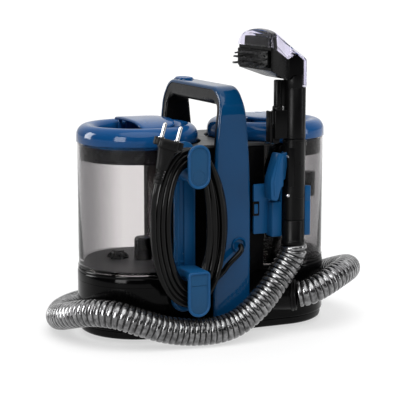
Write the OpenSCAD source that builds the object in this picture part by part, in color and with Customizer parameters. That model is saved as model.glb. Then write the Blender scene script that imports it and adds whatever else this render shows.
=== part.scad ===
// Portable two-tank carpet and upholstery cleaner.
// Origin: on the floor, midway between the two tanks. X runs from the clean-water tank to the
// dirty-water tank, -Y is the front with the cord hooks and the hose, Z is up. Millimetres.

/* [Base] */
// Distance between the two tank axes
tank_spacing = 180; // [170:1:190]
// Outer radius of the round ends of the base
base_r = 77; // [74:0.5:80]
// Height of the top face of the base
base_top = 82; // [78:1:86]
// Wall thickness of the moulded shells
shell_wall = 3; // [2.5:0.5:4]

/* [Tanks] */
// Outer radius of the clear tanks
tank_r = 75.5; // [73:0.5:76]
// Wall of the clear tanks
tank_wall = 2.5; // [2:0.5:3]
// Outer radius of the lids
lid_r = 77; // [75:0.5:77.5]
// Height of the joint between tank and lid
lid_z = 244; // [240:1:250]
// Height of the crest of the lid rim above that joint
lid_rise = 22; // [18:1:26]

/* [Handle] */
// Half depth of the arch, front face to middle
arch_depth = 95; // [92:1:100]
// Height of the top of the arch
arch_top = 315; // [308:1:325]
// Half width of the strap at the grip
strap_half = 15.5; // [15:0.5:20]
// Half width of the strap at its foot
foot_half = 24.5; // [22:0.5:28]

/* [Cord wrap] */
// Middle of the bracket, left of the machine's middle
hook_x = -61; // [-64:1:-58]
// How far the hooks reach out in front of the machine's middle
hook_reach = 134; // [130:1:140]
// Diameter of the mains cord
cord_d = 6.8; // [6:0.2:8]

/* [Hose and tool] */
// Outer diameter of the ribbed hose
hose_d = 34; // [30:1:36]
// Radius of the tool's tubes
tool_r = 14; // [13:0.5:15]
// Tool axis, X
tool_x = 79; // [77:1:81]
// Tool axis, Y
tool_y = -104; // [-108:1:-103]

/* [Hidden] */

$fn = 72;
half_span = tank_spacing / 2;

// base
foot_h = 4;
plate_top = 14;
plate_inset = 2.5;
tray_top = 70;
tray_floor = plate_top + shell_wall;
inner_r = base_r - shell_wall;
screw_r = 1.9;
screw_places = [for (x = [-118, 118], y = [-42, 42]) [x, y]];
foot_places = concat([for (x = [-98, 98], y = [-38, 38]) [x, y]], [[0, 0]]);
seat_lip = 2.8;

// central body
body_x = 50;
body_y = 80;
body_gap_r = 78;
body_wall = 2.5;
deck_h = 4;
body_top = lid_z - deck_h;
duct_r = 12;
duct_y = -45;
fan_at = [82, 10];

// tanks and lids
tank_floor = base_top + seat_lip;
floor_t = 3;
inside_r = tank_r - tank_wall;
band_bottom = lid_z - 21.5;
band_top = lid_z - 4;
band_r = inside_r - 4;
skirt_r = band_r - 3;
skirt_h = 12;
recess_r = 52;
crest_r = 64;
recess_floor = lid_z + 4;
bridge_top = lid_z + 28;
valve_at = [-21, 17];
strainer_at = [7.5, 0];
tower_r = 24;
float_at = [50, -30];
float_cage_r = 8;
cage_z = [163, 195];

// arch
leg_t = 15;
bar_t = 23;
cover_t = 5;
cover_top_t = 4;
arch_foot = 16;
button_y = 60;

// cord wrap
hook_plate_y = -87;
flange_t = 4;
flange_half = 14.5;
hook_pivot_z = 213;
hook_arm_r = 9;
hook_pin_r = 3;
upper_flange_z = [199, 252];
lower_flange_z = 57;
post_z = [40, 251];
foot_plate_z = [39, 104];
rail_z = [100, 196];
rail_out = 2.5;
bracket_screw_z = [112, 184];
bracket_screw_r = 1.6;
bracket_head_r = 3.2;
lower_arm = [86, 98];
coil_y = [-124.9, -102.6];
coil_z = 150;
coil_out = [53, 96, 96, 0.9];
coil_in = [17, 73, 67, 0.55];

// mains cord routes, hand chosen
grommet = [8, -95, 119];
lead_route = [
    [8, -99, 119], [8, -103, 117], [4.5, -106, 112], [-2.5, -107, 104.5], [-10, -106.5, 96], [-18, -106, 87]
];
tail_route = [
    [-112.5, -125, 207.5], [-115, -124.5, 197], [-116.5, -123.5, 185], [-117, -122.5, 172],
    [-116.5, -121.5, 158]
];
relief_base = [-112.5, -125, 207.5];
plug_turn = [0, 16.5, 0];
plug_twist = -18;
pin_gap = 9.5;
pin_r = 2.4;
pin_h = 16.6;
plug_h = [17, 31, 43, 54];

// hose route, hand chosen, from the port to the tool
hose_route = [
    [91, -93, 48], [107, -99, 52], [128, -98, 60], [152, -88, 67], [175, -69, 69], [191, -45, 66],
    [199, -15, 59], [199, 18, 49], [190, 50, 37], [172, 79, 26], [145, 101, 19], [110, 114, 17.5],
    [70, 118, 17.5], [25, 119, 17.5], [-20, 119, 17.5], [-65, 117, 17.5], [-105, 110, 17.5],
    [-142, 93, 17.5], [-170, 66, 17.5], [-186, 33, 19], [-192, 0, 26], [-188, -32, 35], [-174, -63, 43],
    [-152, -86, 43], [-125, -99, 34], [-95, -106, 24], [-62, -110, 18.5], [-30, -113, 18.5],
    [-4, -114, 25], [20, -113.5, 40], [42, -110, 59], [60, -106, 79], [73, -104, 95], [79, -104, 107],
    [79, -104, 116.6]
];
port_turn = -30;
port_root = [68, -80, 46];

// tool heights
cuff_z = [117, 148];
handle_top = 250;
wand_top = 330;
duct_in_tool = 9;
tool_duct_x = tool_x + 2.5;
trigger_pivot = [66, 229];
trigger_half = 9.5;
tip_room_z = 171;
head_half = 45;
neck_cut = 84;
strip_foot = 314.5;
latch_z = [247, 286];
latch_stem_z = 266;
latch_stem_r = 3;
screw_at = [68.5, 180];
spring_z = 206;
holder_z = [127, 190];
holder_plate_z = [130, 193];
holder_r = 19;
holder_bore_r = 14.8;
snap_z = [154.5, 169.5];
fit = 0.3;

// ---------------------------------------------------------------- helpers

// points of an arc of an ellipse in a plane, from angle a0 to a1
function arc(c, rx, ry, a0, a1, n) = [
    for (i = [0:n]) let (a = a0 + (a1 - a0) * i / n) [c[0] + rx * cos(a), c[1] + ry * sin(a)]
];

function flip(points) = [for (i = [len(points) - 1:-1:0]) [-points[i][0], points[i][1]]];

// a solid with a stadium outline, from a [radius, height] profile that starts and ends at radius 0
module stadium(profile, span = half_span) {
    for (s = [-1, 1]) translate([s * span, 0, 0]) rotate_extrude($fn = 96) polygon(profile);
    rotate([90, 0, 90]) linear_extrude(2 * span, center = true) polygon(concat(profile, flip(profile)));
}

// a box between two corners
module block(low, high) {
    translate(low) cube(high - low);
}

// a ring with its axis along Z
module ring(r_out, r_in, z0, z1) {
    difference() {
        translate([0, 0, z0]) cylinder(r = r_out, h = z1 - z0);
        translate([0, 0, z0 - 1]) cylinder(r = r_in, h = z1 - z0 + 2);
    }
}

// a cylinder with its axis along Y, between two Y places
module rod_y(x, z, r, y0, y1) {
    translate([x, y1, z]) rotate([90, 0, 0]) cylinder(r = r, h = y1 - y0);
}

// a profile in the XZ plane pushed along Y
module along_y(y0, y1) {
    translate([0, y1, 0]) rotate([90, 0, 0]) linear_extrude(y1 - y0) children();
}

// a profile in the YZ plane pushed along X
module along_x(x0, x1) {
    translate([x0, 0, 0]) rotate([90, 0, 90]) linear_extrude(x1 - x0) children();
}

// a plate outline with round ends, standing in the XZ plane
module long_round(x, half, z0, z1) {
    translate([x, z0 + half]) circle(r = half);
    translate([x, z1 - half]) circle(r = half);
    translate([x - half, z0 + half]) square([2 * half, z1 - z0 - 2 * half]);
}

// a tube swept along a route, one polyhedron with flat ends
function unit(v) = v / norm(v);
function route_dir(p, i) = unit(p[min(i + 1, len(p) - 1)] - p[max(i - 1, 0)]);
function side_of(d) = unit(cross(d, abs(d[2]) < 0.9 ? [0, 0, 1] : [0, 1, 0]));
function turned(old, d) = unit(old - (old * d) * d);
function sides(p, i = 0, made = []) =
    i == len(p) ? made
    : sides(p, i + 1, concat(made, [
        i == 0 ? side_of(route_dir(p, 0)) : turned(made[i - 1], route_dir(p, i))
    ]));
module tube(p, r, n) {
    s = sides(p);
    points = [for (i = [0:len(p) - 1]) let (d = route_dir(p, i), u = s[i], v = cross(d, u))
        for (k = [0:n - 1]) p[i] + r * (cos(360 * k / n) * u + sin(360 * k / n) * v)];
    faces = concat(
        [[for (k = [n - 1:-1:0]) k]],
        [for (i = [0:len(p) - 2], k = [0:n - 1])
            [i * n + k, i * n + (k + 1) % n, (i + 1) * n + (k + 1) % n, (i + 1) * n + k]],
        [[for (k = [0:n - 1]) (len(p) - 1) * n + k]]);
    polyhedron(points, [for (f = faces) [for (k = [len(f) - 1:-1:0]) f[k]]], convexity = 8);
}

module at_clean() {
    translate([-half_span, 0, 0]) children();
}

module at_dirty() {
    translate([half_span, 0, 0]) rotate([0, 0, 180]) children();
}

module blue() {
    color([0.06, 0.25, 0.50]) children();
}

module black() {
    color([0.07, 0.07, 0.08]) children();
}

module clear() {
    color([0.65, 0.65, 0.68, 0.35]) children();
}

module steel() {
    color([0.70, 0.71, 0.73]) children();
}

// ---------------------------------------------------------------- base

module base_plate() {
    black() difference() {
        stadium([[0, foot_h], [base_r - 7, foot_h], [base_r - 4, foot_h + 1.5],
            [base_r - plate_inset, foot_h + 5], [base_r - plate_inset, plate_top], [0, plate_top]]);
        difference() {
            stadium([[0, foot_h + 4], [base_r - 6, foot_h + 4], [base_r - 6, plate_top + 1],
                [0, plate_top + 1]]);
            for (p = screw_places) translate([p[0], p[1], 0]) cylinder(r = 5, h = plate_top + 2);
        }
        for (p = screw_places) translate([p[0], p[1], 0]) {
            cylinder(r = screw_r + 0.2, h = plate_top + 1);
            cylinder(r = 4, h = foot_h + 2);
        }
    }
}

module rubber_feet() {
    color([0.12, 0.12, 0.12]) for (p = foot_places) translate([p[0], p[1], 0])
        cylinder(r = 10, h = foot_h);
}

module base_screws() {
    steel() for (p = screw_places) translate([p[0], p[1], 0]) {
        translate([0, 0, foot_h + 0.2]) cylinder(r = 3.6, h = 1.8);
        translate([0, 0, foot_h + 1]) cylinder(r = screw_r, h = 26);
    }
}

module port_shape(r, reach, tail = 0) {
    translate(port_root) rotate([0, 0, port_turn]) rotate([0, 86, 0]) translate([0, 0, -tail])
        cylinder(r = r, h = reach + tail);
}

module base_tray() {
    black() difference() {
        union() {
            difference() {
                stadium([[0, plate_top], [base_r - 1.5, plate_top], [base_r, plate_top + 2.5],
                    [base_r, tray_top], [0, tray_top]]);
                stadium([[0, tray_floor], [inner_r, tray_floor], [inner_r, tray_top + 1],
                    [0, tray_top + 1]]);
            }
            for (p = screw_places) translate([p[0], p[1], plate_top]) cylinder(r = 5, h = 24);
            for (s = [-1, 1]) mirror([0, s > 0 ? 0 : 1, 0]) block([-22, inner_r, 22], [22, body_y, 66]);
        }
        for (p = screw_places) translate([p[0], p[1], 0]) cylinder(r = screw_r, h = 34);
        port_shape(19, 60, 14);
        port_shape(21.4, 60, -18.6);
    }
}

module base_cover() {
    black() difference() {
        union() {
            difference() {
                stadium([[0, tray_top], [base_r, tray_top], [base_r, base_top - 2],
                    [base_r - 2, base_top], [0, base_top]]);
                stadium([[0, tray_top - 1], [inner_r, tray_top - 1], [inner_r, base_top - 3],
                    [0, base_top - 3]]);
            }
            for (s = [-1, 1]) translate([s * half_span, 0, 0])
                ring(base_r - 0.5, base_r - 7, base_top - 0.5, tank_floor);
        }
        translate([0, duct_y, 60]) cylinder(r = duct_r + 0.3, h = 40);
        translate([half_span, 0, 60]) cylinder(r = 10, h = 40);
        translate([valve_at[0] - half_span, valve_at[1], 60]) cylinder(r = 5, h = 40);
    }
}

// ---------------------------------------------------------------- central body

module waist(x, y, gap_r, z0, z1) {
    difference() {
        block([-x, -y, z0], [x, y, z1]);
        for (s = [-1, 1]) translate([s * half_span, 0, z0 - 1])
            cylinder(r = gap_r, h = z1 - z0 + 2, $fn = 120);
    }
}

module body_half(s) {
    difference() {
        waist(body_x, body_y, body_gap_r, base_top, body_top);
        waist(body_x - body_wall, body_y - body_wall, body_gap_r + body_wall, base_top - 1, body_top + 1);
        block([-100, s > 0 ? -100 : 0, 0], [100, s > 0 ? 0 : 100, 400]);
    }
}

module body_front() {
    black() difference() {
        union() {
            body_half(-1);
            block([-74, -body_y, base_top + 18], [-body_x + 1, -body_y + body_wall, body_top - 2]);
        }
        for (z = bracket_screw_z) rod_y(hook_x, z, bracket_screw_r, -100, -70);
        rod_y(grommet[0], grommet[2], 4.3, -100, -70);
    }
}

module body_back() {
    black() body_half(1);
}

module deck() {
    black() waist(body_x, body_y, body_gap_r + 2, body_top, lid_z);
}

module suction_duct() {
    color([0.25, 0.25, 0.27]) translate([0, duct_y, 0]) ring(duct_r, duct_r - 2, 76, body_top - 4);
}

// ---------------------------------------------------------------- arch handle

// outline of the arch in the YZ plane, shrunk by inset on the legs and by drop at the top
module arch_outline(inset, drop, corner) {
    y = arch_depth - inset;
    z = arch_top - drop;
    polygon(concat([[-y, arch_foot]], arc([-y + corner, z - corner], corner, corner, 180, 90, 10),
        arc([y - corner, z - corner], corner, corner, 90, 0, 10), [[y, arch_foot]]));
}

// front outline of the strap: narrow at the grip, wide at the foot
module strap_outline(less = 0) {
    grip_z = arch_top - 14;
    knee_z = 150;
    foot = foot_half - less;
    grip = strap_half - less;
    edge = concat([[foot - 4, arch_foot], [foot, arch_foot + 5], [foot, knee_z]],
        [for (i = [1:7]) let (t = i / 8)
            [foot - (foot - grip) * pow(t, 3), knee_z + (grip_z - knee_z) * t]],
        [[grip, grip_z], [grip, arch_top + 1]]);
    polygon(concat(edge, flip(edge)));
}

module arch_band(inset0, drop0, corner0, inset1, drop1, corner1, less) {
    intersection() {
        along_x(-40, 40) difference() {
            arch_outline(inset0, drop0, corner0);
            translate([0, -1]) arch_outline(inset1, drop1 - 1, corner1);
        }
        along_y(-200, 200) strap_outline(less);
    }
}

module button_hole(r, z0, z1, half_len = 5) {
    translate([0, button_y, z0]) {
        for (s = [-1, 1]) translate([0, s * half_len, 0]) cylinder(r = r, h = z1 - z0);
        translate([-r, -half_len, 0]) cube([2 * r, 2 * half_len, z1 - z0]);
    }
}

module arch_cover() {
    blue() difference() {
        arch_band(0, 0, 34, cover_t, cover_top_t, 30, 0);
        button_hole(10.4, arch_top - 12, arch_top + 2);
        translate([grommet[0], grommet[1] - 2, grommet[2]]) sphere(r = 8);
        rod_y(grommet[0], grommet[2], 4.2, -100, -80);
    }
}

module handle_lining() {
    black() difference() {
        arch_band(cover_t, cover_top_t, 30, leg_t, bar_t, 16, 0.6);
        button_hole(10.6, arch_top - 19, arch_top);
        rod_y(grommet[0], grommet[2], 4.2, -100, -70);
    }
}

module power_button() {
    blue() {
        button_hole(10, arch_top - 7.5, arch_top + 2.4);
        button_hole(8.5, arch_top + 2, arch_top + 3);
    }
}

module power_switch() {
    color([0.2, 0.2, 0.22]) {
        block([-7, button_y - 9, arch_top - 19], [7, button_y + 9, arch_top - 13]);
        translate([0, button_y, arch_top - 13.5]) cylinder(r = 2.5, h = 2.4);
    }
}

// ---------------------------------------------------------------- cord wrap

module cord_bracket() {
    blue() difference() {
        union() {
            // back plates and post
            along_y(hook_plate_y, -body_y) long_round(hook_x, 13, post_z[0], post_z[1]);
            // lower back plate, wider
            along_y(hook_plate_y + 1, -body_y)
                long_round(hook_x - 1.5, 15, foot_plate_z[0], foot_plate_z[1]);
            // raised rails along the post
            for (x = [[-12, -8], [-3, 12]])
                block([hook_x + x[0], hook_plate_y - rail_out, rail_z[0]],
                    [hook_x + x[1], hook_plate_y, rail_z[1]]);
            // lower arm
            block([hook_x - 12, -hook_reach + flange_t, lower_arm[0]],
                [hook_x + 12, hook_plate_y + 1, lower_arm[1]]);
            // lower flange
            along_y(-hook_reach, -hook_reach + flange_t) {
                translate([hook_x - 1, lower_flange_z]) circle(r = flange_half);
                translate([hook_x - 1 - flange_half, lower_flange_z])
                    square([2 * flange_half, lower_arm[1] - lower_flange_z]);
            }
        }
        for (z = bracket_screw_z) {
            rod_y(hook_x, z, bracket_screw_r, -100, -70);
            rod_y(hook_x, z, bracket_head_r + 0.2, -100, hook_plate_y + 2);
        }
        rod_y(hook_x, hook_pivot_z, hook_pin_r, -100, -70);
    }
}

module upper_hook() {
    blue() difference() {
        union() {
            rod_y(hook_x, hook_pivot_z, hook_arm_r, -hook_reach + flange_t - 0.5, hook_plate_y - fit);
            along_y(-hook_reach, -hook_reach + flange_t)
                long_round(hook_x - 1, flange_half, upper_flange_z[0], upper_flange_z[1]);
        }
        rod_y(hook_x, hook_pivot_z, hook_pin_r + 0.05, -hook_reach + 8, -70);
    }
}

module hook_pin() {
    steel() rod_y(hook_x, hook_pivot_z, hook_pin_r, -hook_reach + 10, -body_y);
}

module bracket_screws() {
    steel() for (z = bracket_screw_z) {
        rod_y(hook_x, z, bracket_screw_r, hook_plate_y + 1, -body_y + body_wall + 3);
        rod_y(hook_x, z, bracket_head_r, hook_plate_y, hook_plate_y + 1.8);
    }
}

// ---------------------------------------------------------------- mains cord

module cord_grommet() {
    color([0.05, 0.16, 0.32]) difference() {
        rod_y(grommet[0], grommet[2], 4.2, grommet[1] - 4, grommet[1] + 18);
        rod_y(grommet[0], grommet[2], cord_d / 2, grommet[1] + 4, grommet[1] + 20);
    }
}

module cord_lead() {
    color([0.06, 0.06, 0.06]) tube(lead_route, cord_d / 2, 10);
}

// a tall outline round both hooks, from its half width, rise, drop and the power that fills it out
function lens(size, n) = [
    for (i = [0:n - 1]) let (c = cos(360 * i / n), s = sin(360 * i / n))
        [hook_x + size[0] * sign(c) * pow(abs(c), size[3]), coil_z + size[s > 0 ? 1 : 2] * s]
];

module cord_coil() {
    color([0.06, 0.06, 0.06]) along_y(coil_y[0], coil_y[1]) difference() {
        polygon(lens(coil_out, 48));
        polygon(lens(coil_in, 40));
    }
}

module cord_tail() {
    color([0.06, 0.06, 0.06]) tube(tail_route, cord_d / 2, 10);
}

module at_plug() {
    translate(relief_base) rotate(plug_turn) rotate([0, 0, plug_twist]) children();
}

module plug_relief() {
    black() at_plug() {
        cylinder(r = 4.6, h = 5);
        translate([0, 0, 5]) cylinder(r = 4, h = 12);
        for (i = [0:2]) translate([0, 0, 6.5 + 3.5 * i]) cylinder(r = 5, h = 1.8);
    }
}

module plug_body() {
    black() at_plug() {
        translate([0, 0, plug_h[0]]) cylinder(r1 = 6, r2 = 9.5, h = plug_h[1] - plug_h[0]);
        translate([0, 0, plug_h[1]]) cylinder(r1 = 9.5, r2 = 12.5, h = plug_h[2] - plug_h[1]);
        difference() {
            translate([0, 0, plug_h[2]]) linear_extrude(plug_h[3] - plug_h[2]) {
                circle(r = 13.5);
                for (s = [-1, 1]) translate([s * pin_gap, 0]) circle(r = pin_gap);
            }
            for (s = [0, 1]) mirror([0, s, 0]) translate([-3.5, 9.4, plug_h[2] - 1]) cube([7, 10.6, 14]);
        }
    }
}

module plug_pins() {
    steel() at_plug() for (s = [-1, 1]) translate([s * pin_gap, 0, plug_h[3]]) {
        cylinder(r = pin_r, h = pin_h);
        translate([0, 0, pin_h]) sphere(r = pin_r, $fn = 24);
    }
}

// ---------------------------------------------------------------- tool holder and hose port

module tool_holder() {
    blue() {
        difference() {
            union() {
                translate([tool_x, tool_y, holder_z[0]])
                    cylinder(r = holder_r, h = holder_z[1] - holder_z[0]);
                block([tool_x - 28.5, tool_y + 2, holder_z[0]], [tool_x - 12, -86, holder_z[1]]);
            }
            translate([tool_x, tool_y, 120]) cylinder(r = holder_bore_r, h = 80);
            block([tool_x - 30, tool_y - 40, 120], [tool_x, tool_y + 2, 200]);
            block([tool_x - 1, tool_y - 40, 120], [tool_x + 30, tool_y - 3, 200]);
            // room for the trigger's tip
            block([tool_x - 30, tool_y - 40, tip_room_z], [tool_x - 17, tool_y + trigger_half + 1.2, 200]);
        }
        along_y(tool_y - 3, tool_y) polygon([[tool_x + 17, 127], [tool_x + 20, 127], [tool_x + 22.5, 131],
            [tool_x + 22.5, 184], [tool_x + 19, 190], [tool_x + 17, 190]]);
        difference() {
            block([31, -89.5, holder_plate_z[0]], [tool_x - 9, -86, holder_plate_z[1]]);
            translate([tool_x, tool_y, 120]) cylinder(r = 17, h = 80);
            block([28, -95, 153], [37, -80, 171]);
        }
        block([28.5, -89, snap_z[0]], [35.5, -84, snap_z[1]]);
        block([33, -86.5, 134], [48, -body_y, holder_z[1]]);
    }
}

module hose_port() {
    black() difference() {
        union() {
            port_shape(18.9, 26, 12);
            port_shape(21, 26, -19);
        }
        port_shape(14, 40, 20);
    }
}

module hose() {
    color([0.55, 0.56, 0.58]) tube(hose_route, hose_d / 2, 12);
}

// ---------------------------------------------------------------- tool

module trigger_outline() {
    polygon([[53, 234], [64, 232.5], [65, 234], [69.5, 234], [70.5, 222], [66, 214], [64.5, 191.5],
        [58, 190.5], [54, 175], [51, 173.6], [43, 176], [42.2, 200]]);
}

module tool_handle() {
    black() difference() {
        union() {
            translate([tool_x, tool_y, cuff_z[1]]) cylinder(r = tool_r, h = handle_top - cuff_z[1]);
            block([64.6, tool_y - 13, holder_z[1] + 0.6], [tool_x, tool_y + 13, 240]);
        }
        translate([tool_duct_x, tool_y, cuff_z[1] - 1]) cylinder(r = duct_in_tool, h = 200);
        block([60, tool_y - 11.3, 186], [71.8, tool_y + 11.3, 236]);
        rod_y(trigger_pivot[0], trigger_pivot[1], 1.5, tool_y - 20, tool_y + 20);
        rod_y(screw_at[0], screw_at[1], 2, tool_y - 30, tool_y - 2);
    }
}

module trigger() {
    blue() difference() {
        along_y(tool_y - trigger_half, tool_y + trigger_half) trigger_outline();
        rod_y(trigger_pivot[0], trigger_pivot[1], 1.56, tool_y - 20, tool_y + 20);
        translate([62, tool_y, spring_z]) rotate([0, 90, 0]) cylinder(r = 3.4, h = 10);
    }
}

module trigger_pin() {
    steel() rod_y(trigger_pivot[0], trigger_pivot[1], 1.5, tool_y - 12.8, tool_y + 12.8);
}

module trigger_spring() {
    steel() translate([66.6, tool_y, spring_z]) rotate([0, 90, 0]) for (i = [0:4])
        translate([0, 0, i * 0.95]) rotate_extrude($fn = 24) translate([2.4, 0]) circle(r = 0.5, $fn = 8);
}

module tool_screw() {
    steel() rod_y(screw_at[0], screw_at[1], 1.95, tool_y - 10.4, tool_y - 2.4);
}

module hose_cuff() {
    black() difference() {
        union() {
            translate([tool_x, tool_y, cuff_z[0]]) cylinder(r = tool_r, h = cuff_z[1] - cuff_z[0]);
            translate([tool_x, tool_y, cuff_z[0]]) cylinder(r = tool_r + 1.2, h = 6);
        }
        translate([tool_duct_x, tool_y, cuff_z[0] + 3]) cylinder(r = duct_in_tool, h = 60);
        translate([tool_x, tool_y, cuff_z[0] - 1]) cylinder(r = 10, h = 5);
    }
}

module wand_tube() {
    black() difference() {
        union() {
            translate([tool_x, tool_y, handle_top + fit])
                cylinder(r = tool_r, h = wand_top - handle_top - fit);
            block([49.5, tool_y - 6, handle_top + 1], [tool_x, tool_y + 6, latch_z[1]]);
        }
        translate([tool_duct_x, tool_y, handle_top - 1]) cylinder(r = duct_in_tool, h = 200);
        translate([45, tool_y, latch_stem_z]) rotate([0, 90, 0]) cylinder(r = latch_stem_r + 0.06, h = 14);
        block([neck_cut, tool_y - 16, strip_foot - fit], [100, tool_y + 16, 400]);
    }
}

module spray_line() {
    color([0.10, 0.10, 0.11]) {
        translate([58, tool_y, latch_z[1]]) cylinder(r = 5, h = 38);
        translate([56, tool_y, latch_z[1]]) cylinder(r = 6.5, h = 5);
    }
}

module nozzle_latch() {
    black() {
        block([42.5, tool_y - 6, latch_z[0]], [45.5, tool_y + 6, latch_z[1]]);
        translate([45, tool_y, latch_stem_z]) rotate([0, 90, 0]) cylinder(r = latch_stem_r, h = 9);
    }
}

// head: plan outline and side outlines
module head_plan(inset = 0) {
    h = head_half - inset;
    n = 15 - inset;
    half = concat([[18 + inset, h], [25, h], [64, n]], arc([tool_x, 0], n, n, 90, 0, 12));
    translate([0, tool_y]) polygon(concat(half, [for (i = [len(half) - 2:-1:0]) [half[i][0], -half[i][1]]]));
}

module head_cut(inset, points) {
    intersection() {
        translate([0, 0, 250]) linear_extrude(200) head_plan(inset);
        along_y(-300, 100) polygon(points);
    }
}

module nozzle_body() {
    black() difference() {
        head_cut(0.2, [[24, 338], [24, 366], [30, 365], [61.5, 349.2], [75, 355.2], [neck_cut, 347.7],
            [neck_cut, wand_top], [66, wand_top], [64, 324.2], [50, 327]]);
        translate([tool_duct_x, tool_y, 300]) cylinder(r = duct_in_tool, h = 80);
    }
}

module nozzle_window() {
    clear() difference() {
        head_cut(0, [[22, 366.3], [27, 383], [33, 386.5], [42, 384], [60, 372.5], [75, 361], [86, 353],
            [94, 345], [94, strip_foot], [neck_cut + fit, strip_foot], [neck_cut + fit, 347.8],
            [75, 355.5], [61.5, 349.5], [30.2, 365.3]]);
        head_cut(2, [[10, 366.6], [10, 381], [32, 384], [41, 381.6], [59, 370.3], [74, 358.8],
            [84.5, 351.2], [92, 344.2], [92, strip_foot + 2], [neck_cut + 2.3, strip_foot + 2],
            [neck_cut + 2.3, 347.6], [75, 356.4], [61.5, 350.4], [30.4, 366.2]]);
        translate([tool_duct_x, tool_y, 300]) cylinder(r = duct_in_tool, h = 55);
    }
}

module brush_plate() {
    black() block([20.5, tool_y - 42, 341], [24, tool_y + 42, 362]);
}

module bristles() {
    color([0.08, 0.08, 0.08]) for (row = [0:2], i = [0:9])
        translate([9 + row, tool_y - 38 + i * 8.4 + (row == 1 ? 1.5 : 0), 345 + 6.5 * row])
            rotate([0, 90, 0]) cylinder(r = 1.5, h = 11.5 - row, $fn = 16);
}

// ---------------------------------------------------------------- tanks

module tank_shell(hole_at, hole_r) {
    clear() difference() {
        translate([0, 0, tank_floor]) cylinder(r = tank_r, h = lid_z - 0.3 - tank_floor, $fn = 120);
        translate([0, 0, tank_floor + floor_t]) cylinder(r = inside_r, h = 200, $fn = 120);
        translate([hole_at[0], hole_at[1], 0]) cylinder(r = hole_r, h = 200);
    }
}

module tank_band() {
    black() difference() {
        ring(inside_r, band_r, band_bottom, band_top);
        for (i = [0:5]) translate([0, 0, band_bottom + 2.2 + 2.4 * i])
            ring(inside_r + 1, inside_r - 0.8, 0, 1);
    }
}

module lid_shell() {
    in_r = recess_r + 2.5;
    skirt_in = skirt_r - 2.5;
    out = concat([[skirt_r, lid_z - skirt_h], [skirt_r, lid_z], [lid_r, lid_z]],
        arc([crest_r, lid_z + 8], lid_r - crest_r, lid_rise - 8, 0, 90, 8),
        arc([crest_r, lid_z + lid_rise - 10], crest_r - recess_r, 10, 100, 180, 5),
        [[recess_r, recess_floor], [0, recess_floor], [0, lid_z], [in_r, lid_z], [in_r, lid_z + 13]],
        arc([crest_r - 3.5, lid_z + 12], 6, lid_rise - 16, 180, 0, 8),
        [[skirt_in, lid_z + 10], [skirt_in, lid_z - skirt_h]]);
    blue() rotate_extrude($fn = 120) polygon(out);
}

// trims what is inside to the round recess of a lid
module in_recess() {
    intersection() {
        children();
        translate([0, 0, lid_z]) cylinder(r = recess_r - 0.5, h = 60, $fn = 120);
    }
}

module lid_bridge() {
    ys = [for (i = [0:10]) -46 + 9.6 * i];
    top = [for (y = ys) [y, bridge_top - 8 * pow((y - 4) / 48, 2)]];
    under = [for (i = [10:-1:0]) [ys[i], bridge_top - 4 - 9 * pow((ys[i] - 4) / 48, 2)]];
    blue() {
        in_recess() along_x(-8, 42) polygon(concat([[-47, lid_z + 18]], top, under));
        in_recess() block([-8, -47, recess_floor], [30, -42, lid_z + 21]);
        in_recess() block([-5, 36, recess_floor], [30, 40, lid_z + 20]);
    }
}

module lid_seal() {
    color([0.15, 0.15, 0.15]) rotate_extrude($fn = 120) polygon([[skirt_r, lid_z - 10],
        [band_r - fit, lid_z - 9], [band_r - fit, lid_z - 7], [skirt_r, lid_z - 6]]);
}

module clean_tank() {
    at_clean() tank_shell(valve_at, 6);
}

module clean_band() {
    at_clean() tank_band();
}

module clean_strainer() {
    z = tank_floor + floor_t;
    color([0.14, 0.14, 0.15]) at_clean() translate([strainer_at[0], strainer_at[1], 0]) difference() {
        union() {
            translate([0, 0, z]) cylinder(r = 11.5, h = 36);
            translate([0, 0, z + 36]) cylinder(r1 = 11.5, r2 = 8, h = 4);
        }
        translate([0, 0, z + 2]) cylinder(r = 9.5, h = 34.5);
        for (a = [0:30:150]) rotate([0, 0, a]) block([-20, -1.2, z + 8], [20, 1.2, z + 30]);
    }
}

module clean_valve() {
    z = tank_floor + floor_t;
    color([0.16, 0.16, 0.17]) at_clean() translate([valve_at[0], valve_at[1], 0]) {
        difference() {
            union() {
                ring(12, 6, z, z + 2);
                ring(8.5, 6, z + 2, z + 6);
                for (a = [0:45:315]) rotate([0, 0, a]) block([8, -0.8, z + 1], [17, 0.8, z + 4]);
            }
            translate([0, 0, z - 1]) cylinder(r = 5.9, h = 20);
        }
    }
}

module clean_poppet() {
    z = tank_floor + floor_t;
    steel() at_clean() translate([valve_at[0], valve_at[1], 0]) {
        translate([0, 0, z - 2.5]) cylinder(r = 3, h = 14);
        translate([0, 0, z + 10]) cylinder(r = 8, h = 2);
    }
}

module clean_lid() {
    at_clean() lid_shell();
}

module clean_lid_bridge() {
    at_clean() lid_bridge();
}

module clean_lid_seal() {
    at_clean() lid_seal();
}

module dirty_tank() {
    at_dirty() tank_shell([0, 0], 9.5);
}

module dirty_band() {
    at_dirty() tank_band();
}

module dirty_tower() {
    z = tank_floor + floor_t;
    color([0.10, 0.10, 0.11]) translate([half_span, 0, 0]) {
        ring(tower_r, tower_r - 2.5, z, lid_z - 14);
        rotate_extrude($fn = 96)
            polygon([[tower_r - 1, z + 16], [tower_r + 12, z + 12], [56, z + 5], [68, z], [tower_r - 1, z]]);
    }
}

module float_cage() {
    d = norm(float_at);
    color([0.12, 0.12, 0.13]) translate([half_span, 0, 0]) {
        translate([float_at[0], float_at[1], 0]) {
            ring(float_cage_r, float_cage_r - 1.2, cage_z[0], cage_z[1]);
            translate([0, 0, cage_z[1] - 1.5]) cylinder(r = float_cage_r - 1, h = 1.5);
            for (a = [0, 90]) rotate([0, 0, a]) block([-7.2, -0.6, cage_z[0]], [7.2, 0.6, cage_z[0] + 1.5]);
        }
        rotate([0, 0, atan2(float_at[1], float_at[0])])
            block([tower_r + 0.05, -2, 188], [d - float_cage_r + 0.6, 2, 204]);
    }
}

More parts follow.
